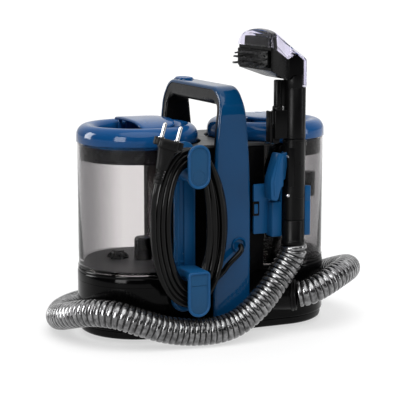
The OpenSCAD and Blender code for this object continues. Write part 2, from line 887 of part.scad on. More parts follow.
module float_ball() {
    color([0.30, 0.30, 0.32]) translate([half_span + float_at[0], float_at[1], cage_z[0] + 2])
        cylinder(r = 6.2, h = 18);
}

module dirty_lid() {
    at_dirty() lid_shell();
}

module dirty_lid_bridge() {
    at_dirty() lid_bridge();
}

module dirty_lid_seal() {
    at_dirty() lid_seal();
}

// ---------------------------------------------------------------- inside the base

module suction_motor() {
    color([0.45, 0.45, 0.47]) translate([fan_at[0], fan_at[1], tray_floor]) {
        cylinder(r = 30, h = 28);
        translate([0, 0, 27]) cylinder(r = 20, h = 5);
        cylinder(r = 4, h = 46);
    }
}

module fan_housing() {
    color([0.20, 0.20, 0.21]) translate([fan_at[0], fan_at[1], 0]) {
        ring(44, 42, tray_floor + 33, 75);
        ring(43, 9, 73, 75);
        ring(43, 21, tray_floor + 28, tray_floor + 30);
        ring(44, 30.2, tray_floor + 28, tray_floor + 33.5);
    }
}

module impeller() {
    color([0.60, 0.61, 0.63]) translate([fan_at[0], fan_at[1], tray_floor + 34]) {
        difference() {
            union() {
                cylinder(r = 39, h = 1.5);
                cylinder(r = 7, h = 14);
                for (a = [0:40:320]) rotate([0, 0, a]) translate([6, -0.8, 1]) cube([32, 1.6, 11]);
            }
            translate([0, 0, -1]) cylinder(r = 4.06, h = 20);
        }
    }
}

module pump() {
    color([0.30, 0.31, 0.33]) translate([-60, 0, tray_floor]) {
        cylinder(r = 20, h = 30);
        translate([0, 0, 29]) cylinder(r = 13, h = 20);
        block([-45, -6, 6], [-18, 6, 18]);
    }
}

base_plate();
rubber_feet();
base_screws();
base_tray();
base_cover();
body_front();
body_back();
deck();
arch_cover();
handle_lining();
power_button();
power_switch();
cord_bracket();
upper_hook();
hook_pin();
bracket_screws();
tool_holder();
hose_port();
hose();
cord_grommet();
cord_lead();
cord_coil();
cord_tail();
plug_relief();
plug_body();
plug_pins();
tool_handle();
trigger();
trigger_pin();
trigger_spring();
tool_screw();
hose_cuff();
wand_tube();
spray_line();
nozzle_latch();
nozzle_body();
nozzle_window();
brush_plate();
bristles();
clean_tank();
clean_band();
clean_strainer();
clean_valve();
clean_poppet();
clean_lid();
clean_lid_bridge();
clean_lid_seal();
dirty_tank();
dirty_band();
dirty_tower();
float_cage();
float_ball();
dirty_lid();
dirty_lid_bridge();
dirty_lid_seal();
suction_motor();
impeller();
fan_housing();
pump();
suction_duct();
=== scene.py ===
"""Looks of the carpet cleaner machine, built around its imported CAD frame.

Lengths below are millimetres in the row frame, and MM turns them into metres. X runs from the clean
tank to the dirty tank, -Y is the front, Z is up.
"""
import random
from math import ceil, cos, pi, radians, sin

import bmesh
import bpy
from mathutils import Matrix, Vector


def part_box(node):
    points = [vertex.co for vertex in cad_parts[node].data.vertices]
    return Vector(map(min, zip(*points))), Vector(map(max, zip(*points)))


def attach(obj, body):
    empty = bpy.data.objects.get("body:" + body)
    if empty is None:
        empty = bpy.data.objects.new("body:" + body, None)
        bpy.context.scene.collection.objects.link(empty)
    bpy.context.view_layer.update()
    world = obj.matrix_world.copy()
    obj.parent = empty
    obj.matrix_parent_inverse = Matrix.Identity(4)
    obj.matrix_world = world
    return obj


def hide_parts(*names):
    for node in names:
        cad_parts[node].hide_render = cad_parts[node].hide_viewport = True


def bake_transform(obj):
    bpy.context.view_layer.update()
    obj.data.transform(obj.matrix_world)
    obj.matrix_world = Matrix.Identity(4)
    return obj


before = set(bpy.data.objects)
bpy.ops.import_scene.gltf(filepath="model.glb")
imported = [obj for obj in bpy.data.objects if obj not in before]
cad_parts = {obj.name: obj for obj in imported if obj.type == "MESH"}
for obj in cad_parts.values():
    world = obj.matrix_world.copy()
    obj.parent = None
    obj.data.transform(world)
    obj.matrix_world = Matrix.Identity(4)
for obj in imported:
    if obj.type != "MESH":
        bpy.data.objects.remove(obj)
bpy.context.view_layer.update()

MM = 0.001
random.seed(7)


def lows(node):
    return [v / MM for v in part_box(node)[0]]


def highs(node):
    return [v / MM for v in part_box(node)[1]]


def new_object(name, data):
    """An object in the scene that shows this data."""
    made = bpy.data.objects.new(name, data)
    bpy.context.scene.collection.objects.link(made)
    return made


# ---------------------------------------------------------------- camera and light

LENS = 127.35
FILM_WIDTH = 36
CAMERA_AT = (-0.7283, -1.6590, 0.4586)
CAMERA_YAW = 23.609
CAMERA_DOWN = 9.296


def look(thing, yaw, down):
    """Turns a camera or lamp so that it looks yaw degrees right of +Y and that far down."""
    thing.rotation_euler = (radians(90 - down), 0, -radians(yaw))


def make_camera():
    camera = new_object("camera", bpy.data.cameras.new("camera"))
    camera.data.lens = LENS
    camera.data.sensor_width = FILM_WIDTH
    camera.location = CAMERA_AT
    look(camera, CAMERA_YAW, CAMERA_DOWN)
    bpy.context.scene.camera = camera


def softbox(name, place, target, width, height, power, lights=True):
    """A rectangle of light. With lights off, it is only seen as a highlight."""
    lamp = bpy.data.lights.new(name, "AREA")
    lamp.shape = "RECTANGLE"
    lamp.size, lamp.size_y = width, height
    lamp.energy = power
    holder = new_object(name, lamp)
    holder.location = place
    aim = Vector(target) - Vector(place)
    holder.rotation_euler = aim.to_track_quat("-Z", "Y").to_euler()
    holder.visible_diffuse = lights


def make_sun(power, angle, yaw, down):
    lamp = bpy.data.lights.new("sky_panel", "SUN")
    lamp.energy, lamp.angle = power, radians(angle)
    look(new_object("sky_panel", lamp), yaw, down)


BRIGHT_SIDE = (0.22, 0.50, 0.84)


def make_studio():
    """A white sweep behind and above, a dark room in front, one big soft sky and a few softboxes."""
    make_sun(2.6, 60, 12, 60)
    lid = (-0.09, 0, 0.26)
    softbox("left_window", (-1.52, 1.02, 0.70), lid, 0.62, 1.1, 36, False)
    softbox("front_window", (-1.50, -1.07, 0.70), lid, 0.66, 1.1, 36, False)
    softbox("right_wall", (1.7, -0.9, 0.6), (0.1, 0, 0.2), 0.20, 1.3, 7)
    world = bpy.data.worlds.new("studio")
    bpy.context.scene.world = world
    world.use_nodes = True
    nodes, links = world.node_tree.nodes, world.node_tree.links
    coords = nodes.new("ShaderNodeTexCoord")
    facing = dot_product(nodes, links, coords.outputs["Generated"], BRIGHT_SIDE)
    nodes["Background"].inputs["Color"].default_value = (1, 1, 1, 1)
    sweep = spread(nodes, links, facing, 0.03, 1.25, 0.05, 0.95)
    links.new(sweep, nodes["Background"].inputs["Strength"])
    bpy.context.scene.view_settings.view_transform = "Standard"


def make_floor():
    half = 60.0
    mesh = bpy.data.meshes.new("floor")
    corners = [(-half, -half, 0), (half, -half, 0), (half, half, 0), (-half, half, 0)]
    mesh.from_pydata(corners, [], [(0, 1, 2, 3)])
    floor = new_object("floor", mesh)
    paint, _, _, shader = new_material("floor_paint")
    shader.inputs["Base Color"].default_value = (0.32, 0.32, 0.32, 1)
    shader.inputs["Emission Color"].default_value = (1, 1, 1, 1)
    shader.inputs["Emission Strength"].default_value = 0.60
    shader.inputs["Roughness"].default_value = 0.75
    shader.inputs["Specular IOR Level"].default_value = 0.1
    mesh.materials.append(paint)


# ---------------------------------------------------------------- materials

def new_material(name):
    material = bpy.data.materials.new(name)
    material.use_nodes = True
    tree = material.node_tree
    return material, tree.nodes, tree.links, tree.nodes["Principled BSDF"]


def noise(nodes, links, scale, detail=3.0):
    """A noise texture in the piece's own space."""
    coords = nodes.new("ShaderNodeTexCoord")
    texture = nodes.new("ShaderNodeTexNoise")
    texture.inputs["Scale"].default_value = scale
    texture.inputs["Detail"].default_value = detail
    links.new(coords.outputs["Object"], texture.inputs["Vector"])
    return texture.outputs["Fac"]


def dot_product(nodes, links, source, axis):
    """How far a vector points along an axis."""
    across = nodes.new("ShaderNodeVectorMath")
    across.operation = "DOT_PRODUCT"
    across.inputs[1].default_value = axis
    links.new(source, across.inputs[0])
    return across.outputs["Value"]


def spread(nodes, links, source, low, high, start=0.3, end=0.7):
    ranged = nodes.new("ShaderNodeMapRange")
    ranged.inputs["From Min"].default_value = start
    ranged.inputs["From Max"].default_value = end
    ranged.inputs["To Min"].default_value = low
    ranged.inputs["To Max"].default_value = high
    links.new(source, ranged.inputs["Value"])
    return ranged.outputs["Result"]


def two_tone(nodes, links, source, dark, light):
    ramp = nodes.new("ShaderNodeValToRGB")
    ramp.color_ramp.elements[0].position = 0.3
    ramp.color_ramp.elements[0].color = (*dark, 1)
    ramp.color_ramp.elements[1].position = 0.7
    ramp.color_ramp.elements[1].color = (*light, 1)
    links.new(source, ramp.inputs["Fac"])
    return ramp.outputs["Color"]


def add_relief(nodes, links, shader, height, depth, strength=1.0):
    """Roughs a surface by a height texture, up to depth metres deep."""
    bump = nodes.new("ShaderNodeBump")
    bump.inputs["Strength"].default_value = strength
    bump.inputs["Distance"].default_value = depth
    links.new(height, bump.inputs["Height"])
    links.new(bump.outputs["Normal"], shader.inputs["Normal"])


def finish_of(name, dark, light, rough, grain, relief, blotch=14.0, detail=3.0, **sockets):
    """A moulded surface: colour drifts between two tones, gloss varies, and a fine grain roughs it.

    grain is the grain's scale per metre, relief its depth in metres, and rough a pair of limits.
    """
    material, nodes, links, shader = new_material(name)
    for socket, value in sockets.items():
        shader.inputs[socket.replace("_", " ")].default_value = value
    drift = noise(nodes, links, blotch, 4.0)
    links.new(two_tone(nodes, links, drift, dark, light), shader.inputs["Base Color"])
    links.new(spread(nodes, links, noise(nodes, links, blotch * 6), *rough), shader.inputs["Roughness"])
    add_relief(nodes, links, shader, noise(nodes, links, grain, detail), relief)
    return material


ACROSS = (0.916, -0.4, 0.0)


def clear_plastic(name, middle_tint, side_shade_tint, rough, ior, middle_x):
    """A clear smoky moulding, with painted shade that darkens it towards the sides of a part that stands at
    middle_x metres.
    """
    material, nodes, links, shader = new_material(name)
    coords = nodes.new("ShaderNodeTexCoord")
    across = dot_product(nodes, links, coords.outputs["Object"], ACROSS)
    middle = ACROSS[0] * middle_x
    offset = spread(nodes, links, across, -1, 1, middle - 1, middle + 1)
    far = nodes.new("ShaderNodeMath")
    far.operation = "ABSOLUTE"
    links.new(offset, far.inputs[0])
    # painted shade: the tint darkens towards both sides along ACROSS, a fixed sideways direction
    side_shade = spread(nodes, links, far.outputs["Value"], 0.3, 0.7, 0.022, 0.062)
    links.new(two_tone(nodes, links, side_shade, middle_tint, side_shade_tint), shader.inputs["Base Color"])
    shader.inputs["Transmission Weight"].default_value = 1.0
    shader.inputs["IOR"].default_value = ior
    drift = noise(nodes, links, 60, 2.0)
    links.new(spread(nodes, links, drift, rough * 0.6, rough * 1.6), shader.inputs["Roughness"])
    add_relief(nodes, links, shader, noise(nodes, links, 45, 1.0), 0.00004, 0.4)
    return material


def hose_vinyl():
    """Grey vinyl over a wire coil, with painted shade darkening the grooves; streaky and shiny on the ribs.
    """
    material = finish_of("hose_vinyl", (0.030, 0.030, 0.031), (0.24, 0.24, 0.244), (0.08, 0.20), 700,
                         0.00018, blotch=150, Metallic=0.85, Coat_Weight=0.5, Coat_Roughness=0.1)
    nodes, links = material.node_tree.nodes, material.node_tree.links
    shader = nodes["Principled BSDF"]
    ribs = shader.inputs["Base Color"].links[0].from_socket
    groove_shade = nodes.new("ShaderNodeAttribute")
    groove_shade.attribute_name = "rib"
    shade = nodes.new("ShaderNodeMix")
    shade.data_type = "RGBA"
    # painted shade: the near-black that the rib attribute lays into the grooves
    shade.inputs["A"].default_value = (0.006, 0.006, 0.0065, 1)
    links.new(groove_shade.outputs["Fac"], shade.inputs["Factor"])
    links.new(ribs, shade.inputs["B"])
    links.new(shade.outputs["Result"], shader.inputs["Base Color"])
    return material


# BLUE_GLOSS and BLUE_SHADED are one glossy blue plastic in two tones: BLUE_GLOSS is the lighter, lit tone
# for the lids and button, and BLUE_SHADED is a darker copy with painted shade for the arch, the cord cup
# and the button collar; its lower roughness is the arch's own gloss
BLUE_GLOSS = finish_of("blue_gloss", (0.004, 0.054, 0.172), (0.005, 0.063, 0.198), (0.07, 0.12), 55,
                       0.00002, Specular_IOR_Level=0.16)
BLUE_SHADED = finish_of("blue_shaded", (0.0010, 0.036, 0.104), (0.0015, 0.043, 0.124), (0.02, 0.05), 55,
                      0.00001, Specular_IOR_Level=0.2)
BLUE_SATIN = finish_of("blue_satin", (0.005, 0.058, 0.158), (0.006, 0.067, 0.180), (0.28, 0.38), 2400,
                       0.00003, Specular_IOR_Level=0.14)
BLUE_PANEL = finish_of("blue_panel", (0.008, 0.052, 0.125), (0.010, 0.059, 0.140), (0.42, 0.5), 2000,
                       0.00005, Specular_IOR_Level=0.14)
BLACK_GLOSS = finish_of("black_gloss", (0.0008, 0.0008, 0.0009), (0.0014, 0.0014, 0.0016), (0.08, 0.15),
                        60, 0.00002, Specular_IOR_Level=0.07)
BLACK_SATIN = finish_of("black_satin", (0.0020, 0.0020, 0.0022), (0.0034, 0.0034, 0.0036),
                        (0.26, 0.36), 2600, 0.00003, Specular_IOR_Level=0.08)
BLACK_GRAIN = finish_of("black_grain", (0.0018, 0.0018, 0.0019), (0.0030, 0.0030, 0.0032),
                        (0.36, 0.48), 1700, 0.00008, Specular_IOR_Level=0.10)
SMOKE_BLACK = finish_of("smoke_black", (0.003, 0.003, 0.0035), (0.005, 0.005, 0.006), (0.22, 0.3), 900,
                        0.00003, Specular_IOR_Level=0.12)
GREY_INNER = finish_of("grey_inner", (0.028, 0.028, 0.030), (0.045, 0.045, 0.048), (0.45, 0.6), 1500,
                       0.00006)
FLOOR_PLATE = finish_of("floor_plate", (0.040, 0.040, 0.042), (0.052, 0.052, 0.055), (0.3, 0.4),
                        900, 0.00002, Specular_IOR_Level=0.05)
BLACK_MATT = finish_of("black_matt", (0.0010, 0.0010, 0.0012), (0.0018, 0.0018, 0.0020), (0.2, 0.3),
                       900, 0.00002, Specular_IOR_Level=0.03)
# the deck's top: the body's black with a lighter base colour as painted light, where the real deck shows a
# grey reflection; its high specular reflects for real
BLACK_DECK_LIT = finish_of("black_deck_lit", (0.010, 0.010, 0.0105), (0.014, 0.014, 0.015), (0.36, 0.46),
                       1500, 0.00004, Specular_IOR_Level=0.5)
RUBBER = finish_of("rubber", (0.010, 0.010, 0.010), (0.018, 0.018, 0.018), (0.55, 0.75), 1900, 0.00008)
CORD_SKIN = finish_of("cord_skin", (0.0014, 0.0014, 0.0014), (0.0026, 0.0026, 0.0026), (0.12, 0.20),
                      1300, 0.00002, Specular_IOR_Level=0.12)
STEEL = finish_of("steel", (0.52, 0.53, 0.55), (0.62, 0.63, 0.65), (0.24, 0.36), 1200, 0.00003,
                  Metallic=1.0)
CHROME = finish_of("chrome", (0.34, 0.34, 0.35), (0.46, 0.46, 0.47), (0.10, 0.2), 900, 0.00001,
                   Metallic=1.0)
MOTOR = finish_of("motor_metal", (0.30, 0.30, 0.31), (0.40, 0.40, 0.42), (0.35, 0.5), 700, 0.00005,
                  Metallic=0.9)
NYLON = finish_of("nylon", (0.006, 0.006, 0.006), (0.05, 0.05, 0.052), (0.3, 0.45), 1500, 0.00002,
                  blotch=260)
TANK_X = {"clean": -90.0, "dirty": 90.0}
# each tank's clear plastic, and the head's cover below, carry painted shade towards their sides
TANK_CLEAR = {
    side: clear_plastic(f"{side}_tank_clear", (0.80, 0.78, 0.78), (0.42, 0.41, 0.415), 0.012, 1.17,
                        x * MM)
    for side, x in TANK_X.items()}
HEAD_CLEAR = clear_plastic("head_clear", (0.84, 0.82, 0.91), (0.76, 0.74, 0.86), 0.015, 1.2, 0.079)
HOSE_SKIN = hose_vinyl()
SLOTS = {"blue_shell": (BLUE_GLOSS, BLUE_SHADED, BLUE_SATIN, BLUE_PANEL),
         "black_satin": (BLACK_SATIN, BLACK_GRAIN, BLACK_MATT, SMOKE_BLACK, FLOOR_PLATE),
         "black_gloss": (BLACK_GLOSS,), "cord_rubber": (CORD_SKIN,), "bristle_nylon": (NYLON,),
         "clear_tank": (*TANK_CLEAR.values(), HEAD_CLEAR)}


# ---------------------------------------------------------------- mesh helpers

def add_object(name, mesh, material, body, smooth=40, slot=None):
    """Links a mesh as a piece that rides on a body, with edges sharper than smooth degrees kept sharp.

    A slot is looked up from its material unless one is given, but it is not stored on the piece.
    """
    mesh.name = name
    mesh.materials.append(material)
    piece = new_object(name, mesh)
    mesh.shade_smooth()
    mesh.set_sharp_from_angle(angle=radians(smooth))
    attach(piece, body)
    slot = slot or next(name for name, group in SLOTS.items() if material in group)
    return piece


def mesh_of(points, faces):
    """A mesh from points in millimetres, with its normals turned outwards."""
    mesh = bpy.data.meshes.new("piece")
    mesh.from_pydata([Vector(p) * MM for p in points], [], faces)
    work = bmesh.new()
    work.from_mesh(mesh)
    bmesh.ops.remove_doubles(work, verts=work.verts, dist=1e-7)
    bmesh.ops.recalc_face_normals(work, faces=work.faces)
    work.to_mesh(mesh)
    work.free()
    return mesh


def loft_faces(count, size, closed_way=False, caps=True):
    """Faces between count rings of size points each."""
    faces = []
    for i in range(count if closed_way else count - 1):
        for k in range(size):
            a, b = i * size, (i + 1) % count * size
            faces.append((a + k, a + (k + 1) % size, b + (k + 1) % size, b + k))
    if caps and not closed_way:
        faces.append(tuple(range(size - 1, -1, -1)))
        faces.append(tuple((count - 1) * size + k for k in range(size)))
    return faces


def loft(rings, closed_way=False, caps=True):
    points = [p for ring in rings for p in ring]
    return mesh_of(points, loft_faces(len(rings), len(rings[0]), closed_way, caps))


def lathe(profile, centre=(0, 0), segments=128, axis="z"):
    """Turns a closed outline of (radius, height) points about an axis through centre."""
    rings = []
    for i in range(segments):
        a = 2 * pi * i / segments
        if axis == "z":
            rings.append([(centre[0] + r * cos(a), centre[1] + r * sin(a), h) for r, h in profile])
        elif axis == "y":
            rings.append([(centre[0] + r * cos(a), h, centre[1] + r * sin(a)) for r, h in profile])
        else:
            rings.append([(h, centre[0] + r * cos(a), centre[1] + r * sin(a)) for r, h in profile])
    return loft(rings, closed_way=True)


def bored_disc(centre, radius, bore, bore_radius, low, high):
    """A flat disc with a round hole through it, which may stand off its centre."""
    rings = []
    for (x, y), r, z in ((centre, radius, low), (centre, radius, high), (bore, bore_radius, high),
                         (bore, bore_radius, low)):
        turns = [2 * pi * k / 96 for k in range(96)]
        rings.append([(x + r * cos(a), y + r * sin(a), z) for a in turns])
    return loft(rings, closed_way=True)


def rounded(points, radius, steps=5):
    """A closed outline of 2-D points whose corners are rounded. radius is one number or one a corner."""
    made, count = [], len(points)
    for i, point in enumerate(points):
        r = radius[i] if hasattr(radius, "__len__") else radius
        here = Vector(point)
        before, after = Vector(points[i - 1]) - here, Vector(points[(i + 1) % count]) - here
        reach = min(r, before.length * 0.49, after.length * 0.49)
        if reach < 1e-6:
            made.append(tuple(here))
            continue
        start, end = here + before.normalized() * reach, here + after.normalized() * reach
        for k in range(steps + 1):
            t = k / steps
            made.append(tuple(start.lerp(here, t).lerp(here.lerp(end, t), t)))
    return made


def slab(x0, x1, y0, y1, radius, steps=3):
    """A rounded rectangle's outline, whose corners start at the low ones."""
    return rounded([(x0, y0), (x1, y0), (x1, y1), (x0, y1)], radius, steps)


def arc(centre, rx, ry, a0, a1, steps):
    """Points of an arc of an ellipse, in degrees."""
    angles = [radians(a0 + (a1 - a0) * k / steps) for k in range(steps + 1)]
    return [(centre[0] + rx * cos(a), centre[1] + ry * sin(a)) for a in angles]


def prism(outline, axis, low, high, bevel=1.0):
    """A block with this outline, pushed along an axis from low to high, with rounded rims.

    The outline is in (x, z) for axis y, (y, z) for axis x, and (x, y) for axis z.
    """
    step = bevel if high > low else -bevel
    levels = [(low, 0), (low + step * 0.3, 0.7), (low + step, 1), (high - step, 1),
              (high - step * 0.3, 0.7), (high, 0)]
    inner = inset_outline(outline, bevel)
    rings = []
    for level, share in levels:
        ring = []
        for p, q in zip(outline, inner):
            u, v = q[0] + (p[0] - q[0]) * share, q[1] + (p[1] - q[1]) * share
            ring.append({"y": (u, level, v), "x": (level, u, v), "z": (u, v, level)}[axis])
        rings.append(ring)
    return loft(rings)


def inset_outline(outline, distance):
    """Each point of a closed outline moved inwards by distance."""
    count = len(outline)
    area = sum(outline[i - 1][0] * outline[i][1] - outline[i][0] * outline[i - 1][1] for i in range(count))
    turn = 1 if area > 0 else -1
    made = []
    for i in range(count):
        here = Vector(outline[i])
        a, b = here - Vector(outline[i - 1]), Vector(outline[(i + 1) % count]) - here
        if a.length < 1e-9 or b.length < 1e-9:
            a = b = a if a.length > b.length else b
        na, nb = Vector((-a[1], a[0])).normalized(), Vector((-b[1], b[0])).normalized()
        bend = na + nb
        bend = bend / max(bend.length_squared, 0.8) * 2 if bend.length > 1e-6 else na
        made.append(tuple(here + bend * distance * turn))
    return made


def joined(meshes):
    """One mesh from several."""
    work = bmesh.new()
    for mesh in meshes:
        work.from_mesh(mesh)
    made = bpy.data.meshes.new("piece")
    work.to_mesh(made)
    work.free()
    return made


def stadium_ring(radius, height, span=90.0, steps=40):
    """A ring of points round the base's outline, at one height."""
    right = [(span + x, y) for x, y in arc((0, 0), radius, radius, -90, 90, steps)]
    left = [(x - span, y) for x, y in arc((0, 0), radius, radius, 90, 270, steps)]
    return [(x, y, height) for x, y in right + left]


def tube_mesh(path, radii, sides):
    """A tube along path, whose rings have the radii given. Returns the mesh."""
    rings, side = [], None
    for i, here in enumerate(path):
        way = (path[min(i + 1, len(path) - 1)] - path[max(i - 1, 0)]).normalized()
        if side is None:
            side = way.cross(Vector((0, 0, 1)) if abs(way.z) < 0.9 else Vector((0, 1, 0)))
        side = (side - side.dot(way) * way).normalized()
        up = way.cross(side)
        r = radii[i]
        rings.append([here + r * (cos(2 * pi * k / sides) * side + sin(2 * pi * k / sides) * up)
                      for k in range(sides)])
    return loft(rings)


def smooth_path(route, step):
    """A smooth curve through a route's points, with points every step millimetres or less."""
    points = [Vector(p) for p in route]
    points = [points[0] * 2 - points[1]] + points + [points[-1] * 2 - points[-2]]
    dense = []
    for i in range(1, len(points) - 2):
        a, b, c, d = points[i - 1:i + 3]
        for k in range(24):
            t = k / 24
            dense.append(0.5 * (2 * b + (c - a) * t + (2 * a - 5 * b + 4 * c - d) * t * t
                                + (3 * b - a - 3 * c + d) * t ** 3))
    dense.append(points[-2])
    return even_path(dense, step)


def even_path(dense, step):
    """The same line with its points an even distance apart."""
    lengths = [0.0]
    for a, b in zip(dense, dense[1:]):
        lengths.append(lengths[-1] + (b - a).length)
    count = max(2, ceil(lengths[-1] / step))
    made, j = [], 0
    for i in range(count + 1):
        want = lengths[-1] * i / count
        while j < len(lengths) - 2 and lengths[j + 1] < want:
            j += 1
        part = (want - lengths[j]) / max(lengths[j + 1] - lengths[j], 1e-9)
        made.append(dense[j].lerp(dense[j + 1], min(max(part, 0), 1)))
    return made


def path_length(path):
    return sum((b - a).length for a, b in zip(path, path[1:]))


# ---------------------------------------------------------------- hose

HOSE_D = 34.0
RIB_PITCH = 7.0
HOSE_ROUTE = [
    (91, -93, 48), (107, -99, 52), (128, -98, 60), (152, -88, 67), (175, -69, 69), (191, -45, 66),
    (199, -15, 59), (199, 18, 49), (190, 50, 37), (172, 79, 26), (145, 101, 19), (110, 114, 17.5),
    (70, 118, 17.5), (25, 119, 17.5), (-20, 119, 17.5), (-65, 117, 17.5), (-105, 110, 17.5),
    (-142, 93, 17.5), (-170, 66, 17.5), (-186, 33, 19), (-192, 0, 26), (-188, -32, 35), (-174, -63, 43),
    (-152, -86, 43), (-125, -99, 34), (-95, -106, 24), (-62, -110, 18.5), (-30, -113, 18.5),
    (-4, -114, 25), (20, -113.5, 40), (42, -110, 59), (60, -106, 79), (73, -104, 95), (79, -104, 107),
    (79, -104, 116.6),
]
# (share of a rib's pitch, how far the surface lies below the rib's crest, how light it is: 0 is the painted
# groove shade, 1 the vinyl's own colour)
RIB = [(0.0, 1.9, 0.0), (0.07, 1.75, 0.05), (0.14, 0.55, 0.7), (0.24, 0.12, 1.0), (0.5, 0.0, 1.0),
       (0.76, 0.12, 1.0), (0.86, 0.55, 0.7), (0.93, 1.75, 0.05)]


def make_hose():
    line = smooth_path(HOSE_ROUTE, 3.0)
    total = path_length(line)
    ribs = round(total / RIB_PITCH)
    pitch = total / ribs
    along = [(i + share) * pitch for i in range(ribs) for share, _, _ in RIB] + [total]
    depth = [(drop, light) for _ in range(ribs) for _, drop, light in RIB] + [(1.9, 0.0)]
    fine = even_path(line, 1.0)
    step = total / (len(fine) - 1)
    path = []
    for want in along:
        place = min(want / step, len(fine) - 1.0001)
        j = int(place)
        path.append(fine[j].lerp(fine[j + 1], place - j))
    sides = 40
    mesh = tube_mesh(path, [HOSE_D / 2 - drop for drop, _ in depth], sides)
    # the rib attribute says how far the painted groove shade gives way to the vinyl's own colour
    shade = mesh.attributes.new("rib", "FLOAT", "POINT")
    shade.data.foreach_set("value", [light for _, light in depth for _ in range(sides)])
    hose = new_object("ribbed_hose", mesh)
    mesh.materials.append(HOSE_SKIN)
    mesh.shade_smooth()
    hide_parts("hose")
    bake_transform(hose)


# ---------------------------------------------------------------- mains cord

CORD_D = 6.8
HOOK_X = -61.0
COIL_X = -67.0
COIL_Z = 150.0
LEAD_ROUTE = [(8, -99, 119), (8, -103, 117), (4.5, -106, 112), (-4, -107, 105), (-12.5, -106.5, 97),
              (-20, -106, 88)]
TAIL_ROUTE = [(-116, -122, 160), (-117, -122.5, 172), (-116.5, -123.5, 185), (-115, -124.5, 197),
              (-112.5, -125, 207.5)]
# each turn's reach left, reach right, rise, drop and place from back to front, from its lowest point
TURNS = [
    (45, 45, 96, 92, -106), (38, 52, 90, 85, -106), (31, 45, 83, 78, -106), (24, 38, 76, 71.5, -106.3),
    (26.5, 27, 74, 71, -112.8), (33.5, 34, 78, 78, -112.8), (40.5, 41, 85, 85, -112.8),
    (47.5, 48, 92, 91, -112.8), (29, 24, 78, 76.5, -119.5), (36, 24, 85, 83, -119.5),
    (42.5, 33, 91.5, 89, -119.5), (49, 44, 97, 94, -120.5), (49.5, 45, 97, 94, -121.5),
]


def coil_point(turn):
    """A point of the wound cord. turn counts turns from the lowest point, clockwise from the front."""
    index = min(int(max(turn, 0)), len(TURNS) - 2)
    part = max(turn, 0) - index
    ease = part * part * (3 - 2 * part)
    left, right, rise, drop, y = [a + (b - a) * ease for a, b in zip(TURNS[index], TURNS[index + 1])]
    angle = -pi / 2 - 2 * pi * turn
    c, s = cos(angle), sin(angle)
    reach = right if c > 0 else left
    x = COIL_X + reach * (1 if c > 0 else -1) * abs(c) ** 0.9
    return Vector((x, y, COIL_Z + (rise if s > 0 else drop) * s))


def cord_path():
    start, end, steps = -0.10, 11.265, 48
    count = round((end - start) * steps)
    wound = [coil_point(start + (end - start) * i / count) for i in range(count + 1)]
    route = [Vector(p) for p in LEAD_ROUTE] + wound[2:] + [Vector(p) for p in TAIL_ROUTE[1:]]
    return smooth_path(route, 2.2)


def ring_profile(radius, low, high, edge=0.6):
    """A plain turned pin or collar's outline, from its axis out, with rounded rims."""
    return [(0.01, low), (radius - edge, low), (radius - edge * 0.3, low + edge * 0.3),
            (radius, low + edge), (radius, high - edge), (radius - edge * 0.3, high - edge * 0.3),
            (radius - edge, high), (0.01, high)]


PLUG_FOOT = (-112.5, -125, 207.5)
PLUG_TILT = 16.5
PLUG_TWIST = -18.0


def plug_place(mesh):
    """Moves a mesh made round the Z axis to the plug's place."""
    turn = Matrix.Rotation(radians(PLUG_TILT), 4, "Y") @ Matrix.Rotation(radians(PLUG_TWIST), 4, "Z")
    mesh.transform(Matrix.Translation(Vector(PLUG_FOOT) * MM) @ turn)
    return mesh


def super_ring(a, b, power, height, count=56, lean=0.0):
    ring = []
    for i in range(count):
        t = 2 * pi * i / count
        c, s = cos(t), sin(t)
        ring.append((lean + a * (1 if c > 0 else -1) * abs(c) ** power,
                     b * (1 if s > 0 else -1) * abs(s) ** power, height))
    return ring


def make_plug():
    relief = [(0.01, 0), (4.7, 0), (5.3, 0.8), (5.3, 4.2), (4.8, 5)]
    for i in range(3):
        low = 6.2 + 3.6 * i
        relief += [(3.9, low - 0.6), (3.9, low), (5.8, low + 0.3), (6.1, low + 1.0), (5.8, low + 1.7),
                   (3.9, low + 2.0)]
    relief += [(4.2, 17.4), (0.01, 17.4)]
    sleeve = add_object("plug_strain_relief", plug_place(lathe(relief, segments=40)), BLACK_GRAIN, "root")
    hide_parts("plug_relief")
    grip = ((0.1, 0.1, 1, 16.6), (6.0, 5.6, 1, 16.8), (6.6, 6.2, 0.95, 17.8), (7.4, 6.8, 0.85, 23),
            (8.4, 7.6, 0.75, 29), (9.4, 8.6, 0.62, 35), (10.2, 9.4, 0.5, 40.2), (10.4, 9.6, 0.45, 41.6),
            (11.6, 11.8, 0.36, 42.4), (12.0, 12.4, 0.34, 43.4), (12.0, 12.4, 0.34, 51.6),
            (11.4, 11.8, 0.34, 52.8), (10.6, 11.0, 0.34, 53.2), (0.1, 0.1, 1, 53.2))
    ears = ((0.1, 0.1, 1, 44.4), (16.6, 6.6, 0.5, 44.4), (17.7, 7.5, 0.5, 45.2), (17.9, 7.7, 0.5, 46.4),
            (17.9, 7.7, 0.5, 52.6), (17.5, 7.3, 0.5, 53.6), (16.6, 6.6, 0.5, 54), (0.1, 0.1, 1, 54))
    shell = joined([loft([super_ring(*ring) for ring in rings]) for rings in (grip, ears)])
    body = add_object("plug_shell", plug_place(shell), BLACK_GRAIN, "root", 50)
    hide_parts("plug_body")
    pins = []
    for side in (-1, 1):
        pin = [(0.01, 53.6), (2.4, 53.6), (2.4, 70.4)] + arc((0, 70.4), 2.4, 2.4, 0, 88, 6)[1:]
        shoulder = [(2.4, 53.8), (4.3, 53.8), (4.1, 54.8), (2.4, 55.1)]
        meshes = [lathe(outline, (side * 9.5, 0), 32) for outline in (pin, shoulder)]
        pins.append(add_object("plug_pin_" + "lr"[side > 0], plug_place(joined(meshes)), CHROME, "root",
                               slot="pin_metal"))
    for pin in pins:
        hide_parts("plug_pins")
    return [sleeve, body, *pins]


